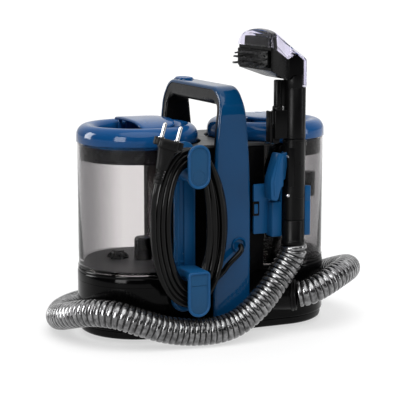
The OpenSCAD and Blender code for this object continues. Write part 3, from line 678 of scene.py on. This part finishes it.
def make_mains_cord(pieces):
    path = cord_path()
    mesh = tube_mesh(path, [CORD_D / 2] * len(path), 14)
    cord = add_object("mains_cord", mesh, CORD_SKIN, "root", 80)
    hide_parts("cord_lead", "cord_coil", "cord_tail")


def make_grommet():
    x, y, z = 8.0, -95.0, 119.0
    cup = [(9.6, y + 0.1), (10.0, y - 1.2), (9.4, y - 2.5), (8.2, y - 2.9), (7.2, y - 2.1),
           (6.6, y + 0.6), (5.4, y + 2.9), (4.3, y + 3.4), (4.3, y + 14), (5.2, y + 14), (5.6, y + 4.4),
           (8.2, y + 2.2)]
    # painted shade: the recessed cup uses the darker copy of the blue
    piece = add_object("cord_cup", lathe(cup, (x, z), 56, "y"), BLUE_SHADED, "root")
    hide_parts("cord_grommet")


# ---------------------------------------------------------------- base

BASE_R = 77.0
BASE_TOP = 82.0


def make_base():
    low, mid, top, r = highs("base_plate")[2], highs("base_tray")[2], BASE_TOP, BASE_R
    plate = [(r - 8, 4), (r - 5, 4.2), (r - 3.2, 5.4), (r - 2.4, 8), (r - 2.3, low - 1), (r - 3, low - 0.2)]
    rings = [stadium_ring(*p) for p in plate]
    piece = add_object("base_plate_shell", loft(rings), BLACK_SATIN, "root", slot="black_gloss")
    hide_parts("base_plate")
    tray = [(r - 2.6, low - 0.1), (r - 1.3, low + 0.2), (r - 0.4, low + 1.2), (r, low + 3), (r, mid - 0.25),
            (r - 0.2, mid - 0.1)]
    rings = [stadium_ring(*p) for p in tray]
    piece = add_object("base_tray_shell", loft(rings), BLACK_GLOSS, "root")
    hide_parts("base_tray")
    cover = [(r - 0.2, mid - 0.05), (r, mid + 0.1), (r, top - 2.2), (r - 0.6, top - 0.8), (r - 2, top)]
    lip = [(r - 7, top - 1), (r - 0.9, top - 1), (r - 0.6, top + 0.6), (r - 0.8, top + 2.1),
           (r - 1.4, top + 2.7), (r - 6.4, top + 2.7), (r - 7, top + 2.2)]
    meshes = [loft([stadium_ring(*p) for p in cover])]
    meshes += [lathe(lip, (x, 0), 144) for x in TANK_X.values()]
    piece = add_object("base_cover_shell", joined(meshes), BLACK_GLOSS, "root")
    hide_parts("base_cover")


PORT_AT = (68, -80, 46)
PORT_YAW = -30
PORT_LEAN = 86


def make_port():
    turn = Matrix.Rotation(radians(PORT_YAW), 4, "Z") @ Matrix.Rotation(radians(PORT_LEAN), 4, "Y")
    place = Matrix.Translation(Vector(PORT_AT) * MM) @ turn
    collar = [(14.2, -10), (18.8, -10), (18.8, 18.4), (20.2, 18.8), (20.9, 19.8), (20.9, 21.4),
              (20.0, 22.2), (19.2, 22.6), (19.2, 23.4), (20.0, 23.9), (20.2, 24.8), (19.6, 25.7),
              (18.2, 26), (14.2, 26)]
    mesh = lathe(collar, segments=72)
    mesh.transform(place)
    piece = add_object("hose_port_collar", mesh, BLACK_SATIN, "root")
    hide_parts("hose_port")


# ---------------------------------------------------------------- arch handle

ARCH_Y = 95.0
ARCH_TOP = 315.0
ARCH_FOOT = 16.0
CORNER = 34.0


def strap_half(z):
    """Half width of the strap: narrow at the grip and wide at the foot."""
    return 24.5 - 9.0 * min(max((z - 120) / 181, 0), 1) ** 2.8


def arch_stations():
    """(y, z, normal y, normal z, share of the way from leg to grip) along the outside of the arch."""
    made = []
    legs = 22
    for i in range(legs + 1):
        made.append((-ARCH_Y, ARCH_FOOT + (ARCH_TOP - CORNER - ARCH_FOOT) * i / legs, -1, 0, 0))
    steps = 14
    for k in range(1, steps):
        a = pi - pi / 2 * k / steps
        made.append((-ARCH_Y + CORNER + CORNER * cos(a), ARCH_TOP - CORNER + CORNER * sin(a),
                     cos(a), sin(a), k / steps))
    for i in range(9):
        made.append((-ARCH_Y + CORNER + 2 * (ARCH_Y - CORNER) * i / 8, ARCH_TOP, 0, 1, 1))
    return made + [(-y, z, -ny, nz, t) for y, z, ny, nz, t in reversed(made[:legs + steps])]


def arch_loft(section):
    """Sweeps section(half width, share) of (x, depth) points along the arch."""
    rings = []
    for y, z, ny, nz, t in arch_stations():
        rings.append([(x, y - ny * d, z - nz * d) for x, d in section(strap_half(z), t)])
    return loft(rings)


def cover_section(half, t):
    depth, edge = 5.0 - t, 3.6
    left = [(-half, depth), (-half, edge)] + arc((-half + edge, edge), edge, edge, 180, 270, 5)[1:]
    left.append((-half * 0.4, 0))
    return left + [(0, 0)] + [(-x, d) for x, d in reversed(left)]


def lining_section(half, t):
    start, end = 5.0 - t, 15.0 + 8.0 * t
    edge = 4.0 + 4.5 * t
    w = half - 0.8
    left = [(-w + 1.2, start + 0.02), (-w, start + 0.7)]
    left += arc((-w + edge, end - edge), edge, edge, 180, 90, 6)
    return left + [(-x, d) for x, d in reversed(left)]


def make_arch():
    cover = arch_loft(cover_section)
    # painted shade: the arch skin uses the darker copy of the lids' blue
    piece = add_object("arch_skin", cover, BLUE_SHADED, "root", 50)
    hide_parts("arch_cover")
    lining = arch_loft(lining_section)
    piece = add_object("arch_lining", lining, BLACK_SATIN, "root", 50)
    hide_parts("handle_lining")


def oval(half, length, steps=16):
    top = [(x, y + length) for x, y in arc((0, 0), half, half, 0, 180, steps)]
    return top + [(x, y - length) for x, y in arc((0, 0), half, half, 180, 360, steps)]


def make_button():
    low, high = lows("power_button"), highs("power_button")
    middle = (low[1] + high[1]) / 2
    rings = []
    for inset, z in ((0.2, low[2]), (0.1, high[2] - 2.6), (0.3, high[2] - 1.3), (1.0, high[2] - 0.6),
                     (1.9, high[2] - 0.45), (2.5, high[2] - 0.9), (5.5, high[2] - 1.2)):
        rings.append([(x, y + middle, z) for x, y in oval(10 - inset, 5)])
    piece = add_object("power_button_cap", loft(rings), BLUE_GLOSS, "button")
    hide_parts("power_button")
    collar = [[(x, y + middle, z) for x, y in oval(r, 5)]
              for r, z in ((10.3, 313.5), (11.6, 314.6), (11.5, 315.35), (10.9, 315.5), (10.35, 315.2))]
    add_object("button_collar", loft(collar, caps=False), BLUE_SHADED, "root")


# ---------------------------------------------------------------- cord bracket

def plate_outline(x0, x1, z0, z1, foot, crown, inset=0.0):
    """A plate's outline in (x, z) with round corners: foot at the bottom, crown at the top."""
    corners = [(x1 - foot, z0 + foot, -90, foot), (x1 - crown, z1 - crown, 0, crown),
               (x0 + crown, z1 - crown, 90, crown), (x0 + foot, z0 + foot, 180, foot)]
    made = []
    for cx, cz, start, r in corners:
        reach = max(r - inset, 0.3)
        made += arc((cx, cz), reach, reach, start, start + 90, 9)
    return made


def dish(x0, x1, z0, z1, foot, crown, back, front):
    """A flange with a raised round rim on its front, from y back to y front."""
    levels = [(0.8, back), (0.15, back - 0.4), (0, back - 1.0), (0, front + 1.4), (0.35, front + 0.5),
              (1.2, front), (2.2, front), (2.9, front + 0.5), (3.3, front + 1.3), (4.2, front + 1.6)]
    rings = [[(x, y, z) for x, z in plate_outline(x0, x1, z0, z1, foot, crown, inset)]
             for inset, y in levels]
    return loft(rings)


def make_bracket():
    """A post with raised rails, its foot plate, and the lower hook's arm and flange."""
    meshes = []
    x, plate_y = HOOK_X, -87.0
    meshes.append(prism(plate_outline(x - 13, x + 13, 40, 251, 13, 13), "y", -80, plate_y, 1.2))
    meshes.append(dish(x - 16.5, x + 13.5, 39, 104, 14.9, 4, -80, plate_y - 1.0))
    for x0, x1, out in ((-11.4, -7.6, 2.5), (-2.4, 10.6, 2.9), (11.2, 12.8, 1.6)):
        outline = slab(x + x0, x + x1, plate_y + 1, plate_y - out, [0, 0, 0.9, 0.9])
        meshes.append(prism(outline, "z", 97, 203, 0.4))
    arm = slab(x - 12, x + 12, 86, 98, [5, 5, 2.4, 2.4], 4)
    meshes.append(prism(arm, "y", plate_y + 1, -131.5, 0.5))
    meshes.append(dish(x - 15.5, x + 13.5, 42.5, 98, 14.2, 5, -130, -134))
    band = slab(x - 11.4, x + 9.4, 80.5, 81.4, 0.3, 2)
    meshes.append(prism(band, "y", -132.2, -132.75, 0.2))
    panel = plate_outline(x - 12.0, x + 10.0, 46, 94.5, 10.6, 3.0)
    add_object("lower_flange_panel", prism(panel, "y", -131.5, -132.75, 0.4), BLUE_PANEL, "root")
    piece = add_object("cord_bracket_shell", joined(meshes), BLUE_SATIN, "root")
    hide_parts("cord_bracket")


def make_upper_hook():
    x, z = HOOK_X, 213.0
    arm = [(3.2, -122), (3.2, -87.4), (10.4, -87.4), (10.6, -88.6), (9.4, -90), (9.0, -92),
           (9.0, -129.8), (6, -131.2), (3.2, -131.2)]
    meshes = [lathe(arm, (x, z), 56, "y"), dish(x - 15.5, x + 13.5, 199, 252, 14.2, 14.2, -130, -134)]
    panel = plate_outline(x - 12.0, x + 10.0, 202.5, 248.5, 10.9, 10.9)
    boss = [(7.0, -132.5), (7.4, -133.1), (8.0, -133.1), (8.4, -132.5)]
    inner = [prism(panel, "y", -131.5, -132.75, 0.4), lathe(boss, (x - 1, 213.6), 56, "y")]
    add_object("upper_flange_panel", joined(inner), BLUE_PANEL, "swivel_hook")
    piece = add_object("upper_hook_shell", joined(meshes), BLUE_SATIN, "swivel_hook")
    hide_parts("upper_hook")


# ---------------------------------------------------------------- tool holder

TOOL_X, TOOL_Y = 79.0, -104.0
TOOL_R = 14.0
DUCT_R = 9.0


def make_holder():
    """A C clip, with a jaw that is cut back above the trigger's end, on a plate with a key and a snap."""
    x, y = TOOL_X, TOOL_Y
    low, high = lows("tool_holder")[2], 190.0
    inner = arc((x, y), 14.9, 14.9, 168, -12, 24)
    outer = arc((x, y), 19, 19, -8, 92, 16)
    clip = (inner + [(x + 15.6, y - 3.4), (x + 22, y - 3.4), (x + 22.8, y - 2.4), (x + 22.8, y - 0.4),
                     (x + 21.6, y + 0.6), (x + 19.4, y + 1.4)]
            + outer[4:] + [(x - 8, -86), (x - 28.5, -86), (x - 28.8, -86.6)])
    jaw = [(x - 28.8, y + 3.6), (x - 27.6, y + 2.2), (x - 16.4, y + 2), (x - 15.2, y + 2.6)]
    cut_jaw = [(x - 28.8, y + 11.2), (x - 28.2, y + 10.7), (x - 17, y + 10.7), (x - 16.9, y + 2.4),
               (x - 15.2, y + 2.6)]
    meshes = [prism(clip + jaw, "z", low, 171, 1.2),
              prism(clip + cut_jaw, "z", 170, high, 1.2),
              prism(slab(31, 61.5, 130, 193, 1.6), "y", -86, -89.5, 0.7),
              prism(slab(33, 48, 134, 190, 1, 2), "y", -80, -86.5, 0.3),
              prism(slab(31.2, 36.6, 156, 168, 1.0), "y", -88, -90.8, 0.6)]
    piece = add_object("tool_holder_shell", joined(meshes), BLUE_SATIN, "root")
    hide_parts("tool_holder")
    snap_frame = prism(slab(29.4, 38.6, 153, 171.5, 1.5), "y", -87, -90, 0.6)
    add_object("holder_snap_frame", snap_frame, BLACK_SATIN, "root")


# ---------------------------------------------------------------- spray tool

def round_tube(outline):
    """A tool tube turned about the tool's axis from an outline of (radius, height)."""
    return lathe(outline, (TOOL_X, TOOL_Y), 72)


def make_tool():
    """The hose's cuff, the handle with the trigger's housing and a curved seam, and a screw."""
    x, y = TOOL_X, TOOL_Y
    cuff = [(DUCT_R, 120), (10, 117.2), (14.6, 117), (15.1, 117.6), (15.1, 121.6), (14.5, 122.6),
            (TOOL_R, 123.4), (TOOL_R, 147.4), (13.5, 148), (DUCT_R, 148)]
    piece = add_object("hose_cuff_shell", round_tube(cuff), BLACK_SATIN, "spray_tool")
    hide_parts("hose_cuff")
    tube = [(DUCT_R, 148.3), (13.4, 148.3), (TOOL_R, 149), (TOOL_R, 249.2), (13.4, 249.9),
            (DUCT_R, 249.9)]
    meshes = [round_tube(tube)]
    for z0, z1, r in ((150.6, 151.6, 14.25), (246.0, 248.6, 14.35)):
        meshes.append(round_tube([(13.6, z0), (r, z0 + 0.3), (r, z1 - 0.3), (13.6, z1)]))
    meshes.append(prism(slab(71.8, x + 2, y - 12.9, y + 12.9, 1.5), "z", 191, 240, 1.2))
    for side in (-1, 1):
        cheek = slab(65, 74, 191, 240, 2)
        meshes.append(prism(cheek, "y", y + side * 11.4, y + side * 12.9, 0.4))
    seam = []
    for k in range(25):
        a = radians(-128 + 95 * k / 24)
        lift = 7 * (1 - sin(pi * k / 24) ** 0.6)
        seam.append(Vector((x + TOOL_R * cos(a), y + TOOL_R * sin(a), 176 + lift)))
    meshes.append(tube_mesh(seam, [0.28] * len(seam), 6))
    piece = add_object("tool_handle_shell", joined(meshes), BLACK_SATIN, "spray_tool")
    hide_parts("tool_handle")
    screw = [(0.01, -113.5), (1.7, -113.5), (2.1, -113.1), (2.1, -111.4), (1.6, -111), (1.6, -107),
             (0.01, -107)]
    piece = add_object("tool_screw_head", lathe(screw, (67.2, 180), 28, "y"), CHROME, "spray_tool",
                       slot="screw_steel")
    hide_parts("tool_screw")


def make_trigger():
    """The lever, the tongue that reaches into the housing, and the lever's raised ridge."""
    y = TOOL_Y
    outline = [(53, 233.6), (59.6, 232.6), (60.6, 231), (60.6, 192), (57.4, 190.6), (53.4, 176),
               (51, 173.8), (43.4, 176), (42.2, 200)]
    shape = rounded(outline, [2.2, 1, 1.5, 2, 2.5, 2.5, 1.5, 2.2, 6], 4)
    meshes = [prism(shape, "y", y + 9.5, y - 9.5, 1.6)]
    tongue = rounded([(58, 231), (64, 232), (65, 233.8), (69.4, 233.8), (70.4, 222), (66, 214),
                      (64.5, 200), (58, 200)], 1.2, 3)
    meshes.append(prism(tongue, "y", y + 6, y - 6, 0.6))
    ridge = rounded([(46.4, 198), (52.6, 229), (54.4, 229), (48.4, 198), (49.4, 180), (47.6, 180)], 0.8, 3)
    meshes.append(prism(ridge, "y", y - 9, y - 10.1, 0.5))
    piece = add_object("trigger_lever", joined(meshes), BLUE_SATIN, "tool_trigger")
    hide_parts("trigger")


def make_wand():
    """The wand with its cut neck, latch block and hook, the spray line, and the latch's paddle."""
    x, y = TOOL_X, TOOL_Y
    tube = [(DUCT_R, 250.4), (13.4, 250.4), (TOOL_R, 251.1), (TOOL_R, 313.4), (13.6, 314),
            (DUCT_R, 314)]
    meshes = [round_tube(tube)]
    neck = arc((x, y), TOOL_R, TOOL_R, 69, 291, 40)
    meshes.append(prism(neck, "z", 313, 330.6, 0.4))
    meshes.append(round_tube([(13.6, 251.6), (14.3, 252), (14.3, 254.4), (13.6, 254.8)]))
    block = slab(49.5, x, y - 6, y + 6, [1.5, 0, 0, 1.5])
    meshes.append(prism(block, "z", 251.2, 286, 0.9))
    meshes.append(prism(slab(47.5, 57, y - 5, y + 5, 1.2), "z", 245.6, 251.5, 0.7))
    piece = add_object("wand_shell", joined(meshes), BLACK_SATIN, "nozzle")
    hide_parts("wand_tube")
    line = [(0.01, 286.2), (6.3, 286.2), (6.6, 287), (6.6, 290), (6.0, 291.2), (5.0, 291.8),
            (5.0, 322.4), (4.2, 323.6), (0.01, 323.6)]
    web = slab(56, 67, y - 2.5, y + 2.5, 0.6, 2)
    meshes = [lathe(line, (55.7, y), 40), prism(web, "z", 291, 323.4, 0.3)]
    piece = add_object("spray_line_tube", joined(meshes), BLACK_SATIN, "nozzle")
    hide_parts("spray_line")
    paddle = slab(42.6, 45.5, y - 6, y + 6, [1.1, 0.6, 0.6, 1.1])
    meshes = [prism(paddle, "z", 247.2, 285.8, 0.9)]
    meshes.append(lathe(ring_profile(2.9, 45, 53.8, 0.3), (y, 266), 28, "x"))
    for k in range(5):
        z = 275 + 2 * k
        meshes.append(prism(slab(42.2, 43, z, z + 0.9, 0.25, 2), "y", y + 4.6, y - 4.6, 0.2))
    piece = add_object("latch_paddle", joined(meshes), BLACK_SATIN, "latch_button")
    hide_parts("nozzle_latch")


# ---------------------------------------------------------------- nozzle head

def along(table, x):
    """Reads a height or width off a list of (x, value) points, with straight lines between them."""
    for (x0, v0), (x1, v1) in zip(table, table[1:]):
        if x <= x1:
            return v0 + (v1 - v0) * max(x - x0, 0) / (x1 - x0)
    return table[-1][1]


HEAD_HALF = [(18, 45), (25, 45), (64, 15)] + [(79 + 15 * sin(radians(a)), 15 * cos(radians(a)))
                                                 for a in range(0, 91, 10)]
HEAD_TOP = [(22, 366.4), (23.2, 375), (25.2, 382.4), (28, 386), (33, 387), (38, 386), (44, 383.4),
            (60, 372.5), (75, 360), (86, 352), (91, 348), (94, 344)]
HEAD_DOME = [(22, 0), (25, 4.6), (45, 5), (60, 3.6), (78, 1), (94, 0)]
BODY_TOP = [(24, 366), (30, 365), (61.5, 349.2), (75, 355.2), (86, 346), (91, 342)]
NECK_CUT = 84.0
STRIP_FOOT = 314.5
BODY_FOOT = [(24, 338), (50, 327), (64, 324.2), (65, 330), (91, 330)]


def head_section(x, low, high, inset=0.0, corner=2.5, dome=0.0, taper=0.0):
    """A ring of the head's outline at one x, between two heights, with its top corners rounded.

    dome is how far the crown stands above the top corners, taper how far they lean in.
    """
    half = along(HEAD_HALF, x) - inset
    shoulder = high - dome
    r = min(corner, (shoulder - low) * 0.45)
    crown = [(half * s / 4, shoulder + dome * (1 - (s / 4) ** 2)) for s in (3, 2, 1, 0, -1, -2, -3)]
    box = [(-half, low), (half, low), (half - taper, shoulder), *crown, (taper - half, shoulder)]
    radii = [r * 0.35, r * 0.35, r, *[0.5 * r] * len(crown), r]
    return [(x, TOOL_Y + u, v) for u, v in rounded(box, radii, 4)]


def make_nozzle():
    stations = (24, 24.6, 27, 30, 34, 40, 46, 52, 58, 60.5, 63.9, 64.2, 70, 75, 79, 82, NECK_CUT)
    body = [head_section(x, along(BODY_FOOT, x), along(BODY_TOP, x) - 0.1, 0.5, 1.2) for x in stations]
    meshes = [loft(body)]
    chamber = [head_section(x, 358, 376.5, 9, 2) for x in (29.5, 30, 33, 36.5, 37)]
    meshes.append(loft(chamber))
    piece = add_object("nozzle_head", joined(meshes), BLACK_MATT, "nozzle")
    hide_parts("nozzle_body")
    make_window()
    low, high = lows("brush_plate"), highs("brush_plate")
    outline = slab(low[1], high[1], low[2], high[2], 2, 4)
    piece = add_object("brush_block", prism(outline, "x", high[0], low[0], 0.9), BLACK_MATT, "nozzle")
    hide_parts("brush_plate")
    make_bristles()


def make_window():
    """The clear cover: an outer skin and, inside it, the skin of its hollow."""
    skins = []
    # stations, where the neck strip starts, gap over the body, strip's foot, top wall, side wall, corner
    for stations, neck, gap, foot, top_wall, side_wall, corner in (
            ((22.3, 23.2, 25.2, 28, 33, 38, 44, 53, 62, 70, 77, 82, 84, 84.3, 86, 89, 91, 92.6, 93.6),
             NECK_CUT, 0.15, STRIP_FOOT, 0, 0, 2.0),
            ((25.5, 28, 33, 38, 44, 53, 62, 70, 77, 82, 85.5, 85.8, 88, 89.5, 91.4),
             NECK_CUT + 1.5, 0.6, STRIP_FOOT + 2, 2.0, 2.0, 1.2)):
        rings = []
        for x in stations:
            low = foot if x > neck else along(BODY_TOP, x) + gap
            dome = along(HEAD_DOME, x)
            rings.append(head_section(x, low, along(HEAD_TOP, x) - top_wall, side_wall, corner, dome,
                                      dome * 0.6))
        skins.append(loft(rings))
    piece = add_object("nozzle_cover", joined(skins), HEAD_CLEAR, "nozzle", 28)
    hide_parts("nozzle_window")


TUFT_GAP = 8.4
ROW_GAP = 6.5


def make_bristles():
    """Three rows of tufts, each a few nylon hairs that lean their own way."""
    meshes = []
    for row in range(3):
        for i in range(10):
            y = TOOL_Y - 38 + i * TUFT_GAP + (1.5 if row == 1 else 0)
            z = 345 + ROW_GAP * row
            curl = Vector((0, random.uniform(-1.2, 1.2), random.uniform(-2.4, 0.6)))
            for k in range(7):
                turn = 2 * pi * k / 7
                foot = Vector((21.0, y + 0.8 * cos(turn), z + 0.8 * sin(turn)))
                lean = curl + Vector((0, random.uniform(-0.6, 0.6), random.uniform(-0.6, 0.6)))
                tip = foot + Vector((-9.6 + 1.1 * row + random.uniform(0, 1.6), 0, 0)) + lean
                path = [foot.lerp(tip, t) + lean * 0.5 * sin(pi * t) for t in (0, 0.35, 0.7, 1)]
                meshes.append(tube_mesh(path, [0.40, 0.38, 0.34, 0.24], 5))
    piece = add_object("brush_tufts", joined(meshes), NYLON, "nozzle")
    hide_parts("bristles")


# ---------------------------------------------------------------- tanks and lids

LID_Z = 244.0
VALVE_AT = (-111.0, 17.0)
# where each tank's floor is bored, and the bore's radius: for the valve, and for the suction tower
TANK_BORES = {"clean": (VALVE_AT, 6.0), "dirty": ((TANK_X["dirty"], 0.0), 9.5)}


def make_tank(side, x):
    floor = lows(f"{side}_tank")[2]
    top = LID_Z - 0.4
    outline = [(70, floor), (74.6, floor), (75.4, floor + 0.5), (76.2, floor + 1.2),
               (76.2, floor + 2.6), (75.5, floor + 3.4), (75.5, top - 0.5), (75.1, top), (73.4, top),
               (73, top - 0.5), (73, floor + 5.5), (72.2, floor + 3.8), (70.6, floor + 3), (70, floor + 3)]
    bore, bore_radius = TANK_BORES[side]
    meshes = [lathe(outline, (x, 0), 160),
              bored_disc((x, 0), 70.1, bore, bore_radius, floor + 0.02, floor + 2.98)]
    piece = add_object(f"{side}_tank_wall", joined(meshes), TANK_CLEAR[side], f"{side}_tank_unit", 30)
    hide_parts(f"{side}_tank")
    low, high = lows(f"{side}_band")[2], highs(f"{side}_band")[2]
    band = [(69, low), (72.9, low)]
    for k in range(6):
        z = low + 2.2 + 2.4 * k
        band += [(72.9, z), (72.2, z + 0.2), (72.2, z + 0.8), (72.9, z + 1.0)]
    band += [(72.9, high), (69, high)]
    piece = add_object(f"{side}_tank_band", lathe(band, (x, 0), 144), SMOKE_BLACK, f"{side}_tank_unit")
    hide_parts(f"{side}_band")


def lid_outline():
    z = LID_Z
    out = [(66.5, z - 12), (69, z - 12), (69, z - 0.6), (69.6, z), (76.2, z), (77, z + 0.8),
           (76.7, z + 7.4)]
    out += arc((64, z + 8), 12.7, 14, 0, 90, 14)[1:]
    out += arc((64, z + 12), 12, 10, 95, 170, 8)
    out += [(52, z + 9), (51.6, z + 6), (50.6, z + 4.6), (48.5, z + 4), (0.02, z + 4), (0.02, z + 0.2)]
    return out + [(54.5, z + 0.2), (54.5, z + 13), (57, z + 17), (61, z + 18), (64.5, z + 15),
                  (66.5, z + 10)]


def bridge_height(y):
    """Height of the bridge's top: a crown that sinks towards its near end."""
    return LID_Z + 28.0 - 8.0 * max((-y - 14) / 38.0, 0) ** 2 - 2.0 * max((y - 14) / 38.0, 0) ** 2


def bridge_outline():
    """The bridge's plan: a leaf across the recess, from rim to rim."""
    rim = 52.4
    near = [(rim * cos(radians(a)), rim * sin(radians(a))) for a in range(-101, -46, 6)]
    far = [(rim * cos(radians(a)), rim * sin(radians(a))) for a in range(48, 104, 6)]
    bulge = [(39.0 + 3.0 * cos(pi * t / 8), 37.0 * t / 4) for t in range(-3, 4)]
    edge = [(-11.5 + 3.5 * (0.5 - t / 8), 48.0 - 12.0 * t) for t in range(1, 8)]
    return near + bulge + far + edge


def make_lid(side, centre, facing):
    place = f"{side}_lid_unit"
    piece = add_object(f"{side}_lid_rim", lathe(lid_outline(), (centre, 0), 160), BLUE_GLOSS, place, 50)
    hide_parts(f"{side}_lid")
    plan = bridge_outline()
    middle = (18.0, 0.0)
    rings = []
    for share, drop in ((0.55, 0), (0.9, 0), (0.96, 0.25), (0.985, 0.7), (1.0, 1.6), (1.0, 3.0),
                        (0.985, 3.8), (0.96, 4.2), (0.6, 4.3)):
        ring = []
        for u, v in plan:
            x, y = middle[0] + (u - middle[0]) * share, middle[1] + (v - middle[1]) * share
            ring.append((centre + facing * x, facing * y, bridge_height(y) - drop))
        rings.append(ring)
    piece = add_object(f"{side}_lid_handle", loft(rings), BLUE_GLOSS, place, 60)
    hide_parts(f"{side}_lid_bridge")
    posts = []
    for u, v, half in ((-7.5, 41, 2.6), (3, 38, 4), (-4, -44, 3)):
        post = [(centre + facing * a, facing * b)
                for a, b in slab(u - half, u + half, v - 2, v + 2, 1.2)]
        posts.append(prism(post, "z", LID_Z + 3.5, bridge_height(v) - 3.2, 0.3))
    add_object(f"{side}_lid_posts", joined(posts), BLUE_GLOSS, place)


def make_tank_fittings():
    """The pickup cup and the star-shaped valve seat on the clean tank's floor."""
    x, y, low = -82.5, 0.0, lows("clean_strainer")[2]
    cup = [(9.6, low), (11.2, low), (11.5, low + 0.3), (11.5, low + 14), (11.0, low + 14.4),
           (11.0, low + 15.6), (11.5, low + 16), (11.5, low + 26), (10.9, low + 28.4), (9.2, low + 30),
           (0.02, low + 30.4), (0.02, low + 28.8), (9.0, low + 28.4), (9.6, low + 27)]
    meshes = [lathe(cup, (x, y), 64)]
    for k in range(8):
        a = 2 * pi * k / 8
        rib = [(x + r * cos(a + t), y + r * sin(a + t))
               for r, t in ((11, 0.07), (12.2, 0.06), (12.2, -0.06), (11, -0.07))]
        meshes.append(prism(rib, "z", low + 0.5, low + 13, 0.2))
    piece = add_object("pickup_cup", joined(meshes), SMOKE_BLACK, "clean_tank_unit")
    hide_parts("clean_strainer")
    plate_low = lows("clean_tank")[2] + 3.1
    plate = [(69, plate_low), (70.4, plate_low), (70.8, plate_low + 0.4), (70.4, plate_low + 0.8),
             (69, plate_low + 0.8)]
    centre = (TANK_X["clean"], 0)
    meshes = [lathe(plate, centre, 128),
              bored_disc(centre, 69.1, *TANK_BORES["clean"], plate_low + 0.01,
                         plate_low + 0.79)]
    add_object("tank_floor_plate", joined(meshes), FLOOR_PLATE, "clean_tank_unit")
    (x, y), low = VALVE_AT, lows("clean_valve")[2]
    seat = [(4, low), (9.6, low), (10, low + 0.4), (9.7, low + 1.4), (5.6, low + 1.8), (5.4, low + 5.6),
            (4.9, low + 6), (4, low + 6)]
    meshes = [lathe(seat, (x, y), 64)]
    for k in range(6):
        a = pi / 6 + 2 * pi * k / 6
        turn = Matrix.Translation(Vector((x, y, 0)) * MM) @ Matrix.Rotation(a, 4, "Z")
        fin = rounded([(4.5, low + 1), (14, low + 1), (14, low + 4.2), (9.6, low + 8.6), (8.8, low + 8.4),
                       (8.4, low + 5.8), (4.5, low + 5.8)], 0.3, 2)
        mesh = prism(fin, "y", 1.3, -1.3, 0.3)
        mesh.transform(turn)
        meshes.append(mesh)
    piece = add_object("valve_star", joined(meshes), BLACK_MATT, "clean_tank_unit")
    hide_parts("clean_valve")


# ---------------------------------------------------------------- pieces kept from the CAD

KEPT = {
    "rubber_feet": (RUBBER, 0.8), "base_screws": (STEEL, 0), "body_front": (BLACK_MATT, 1.0),
    "body_back": (BLACK_MATT, 1.0), "deck": (BLACK_DECK_LIT, 1.0), "power_switch": (GREY_INNER, 0.4),
    "hook_pin": (STEEL, 0.3), "bracket_screws": (STEEL, 0.3), "trigger_pin": (STEEL, 0.2),
    "trigger_spring": (STEEL, 0), "clean_poppet": (BLACK_SATIN, 0.2),
    "clean_lid_seal": (RUBBER, 0.3), "dirty_lid_seal": (RUBBER, 0.3),
    "dirty_tower": (SMOKE_BLACK, 0.5), "float_cage": (SMOKE_BLACK, 0.3), "float_ball": (GREY_INNER, 0.5),
    "suction_motor": (MOTOR, 0.6), "impeller": (GREY_INNER, 0.2), "fan_housing": (GREY_INNER, 0.4),
    "pump": (GREY_INNER, 0.5), "suction_duct": (GREY_INNER, 0.3),
}


def dress_kept_nodes():
    for node, (material, edge) in KEPT.items():
        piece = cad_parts[node]
        piece.data.materials.clear()
        piece.data.materials.append(material)
        weld = piece.modifiers.new("weld", "WELD")
        weld.merge_threshold = 0.00001
        if edge:
            bevel = piece.modifiers.new("edges", "BEVEL")
            bevel.width = edge * MM
            bevel.segments = 2
            bevel.limit_method = "ANGLE"
            bevel.angle_limit = radians(50)


make_camera()
make_studio()
make_floor()
make_hose()
make_mains_cord(make_plug())
make_grommet()
make_base()
make_port()
make_arch()
make_button()
make_bracket()
make_upper_hook()
make_holder()
make_tool()
make_trigger()
make_wand()
make_nozzle()
for tank_side, tank_x in TANK_X.items():
    make_tank(tank_side, tank_x)
    make_lid(tank_side, tank_x, 1 if tank_x < 0 else -1)
make_tank_fittings()
dress_kept_nodes()
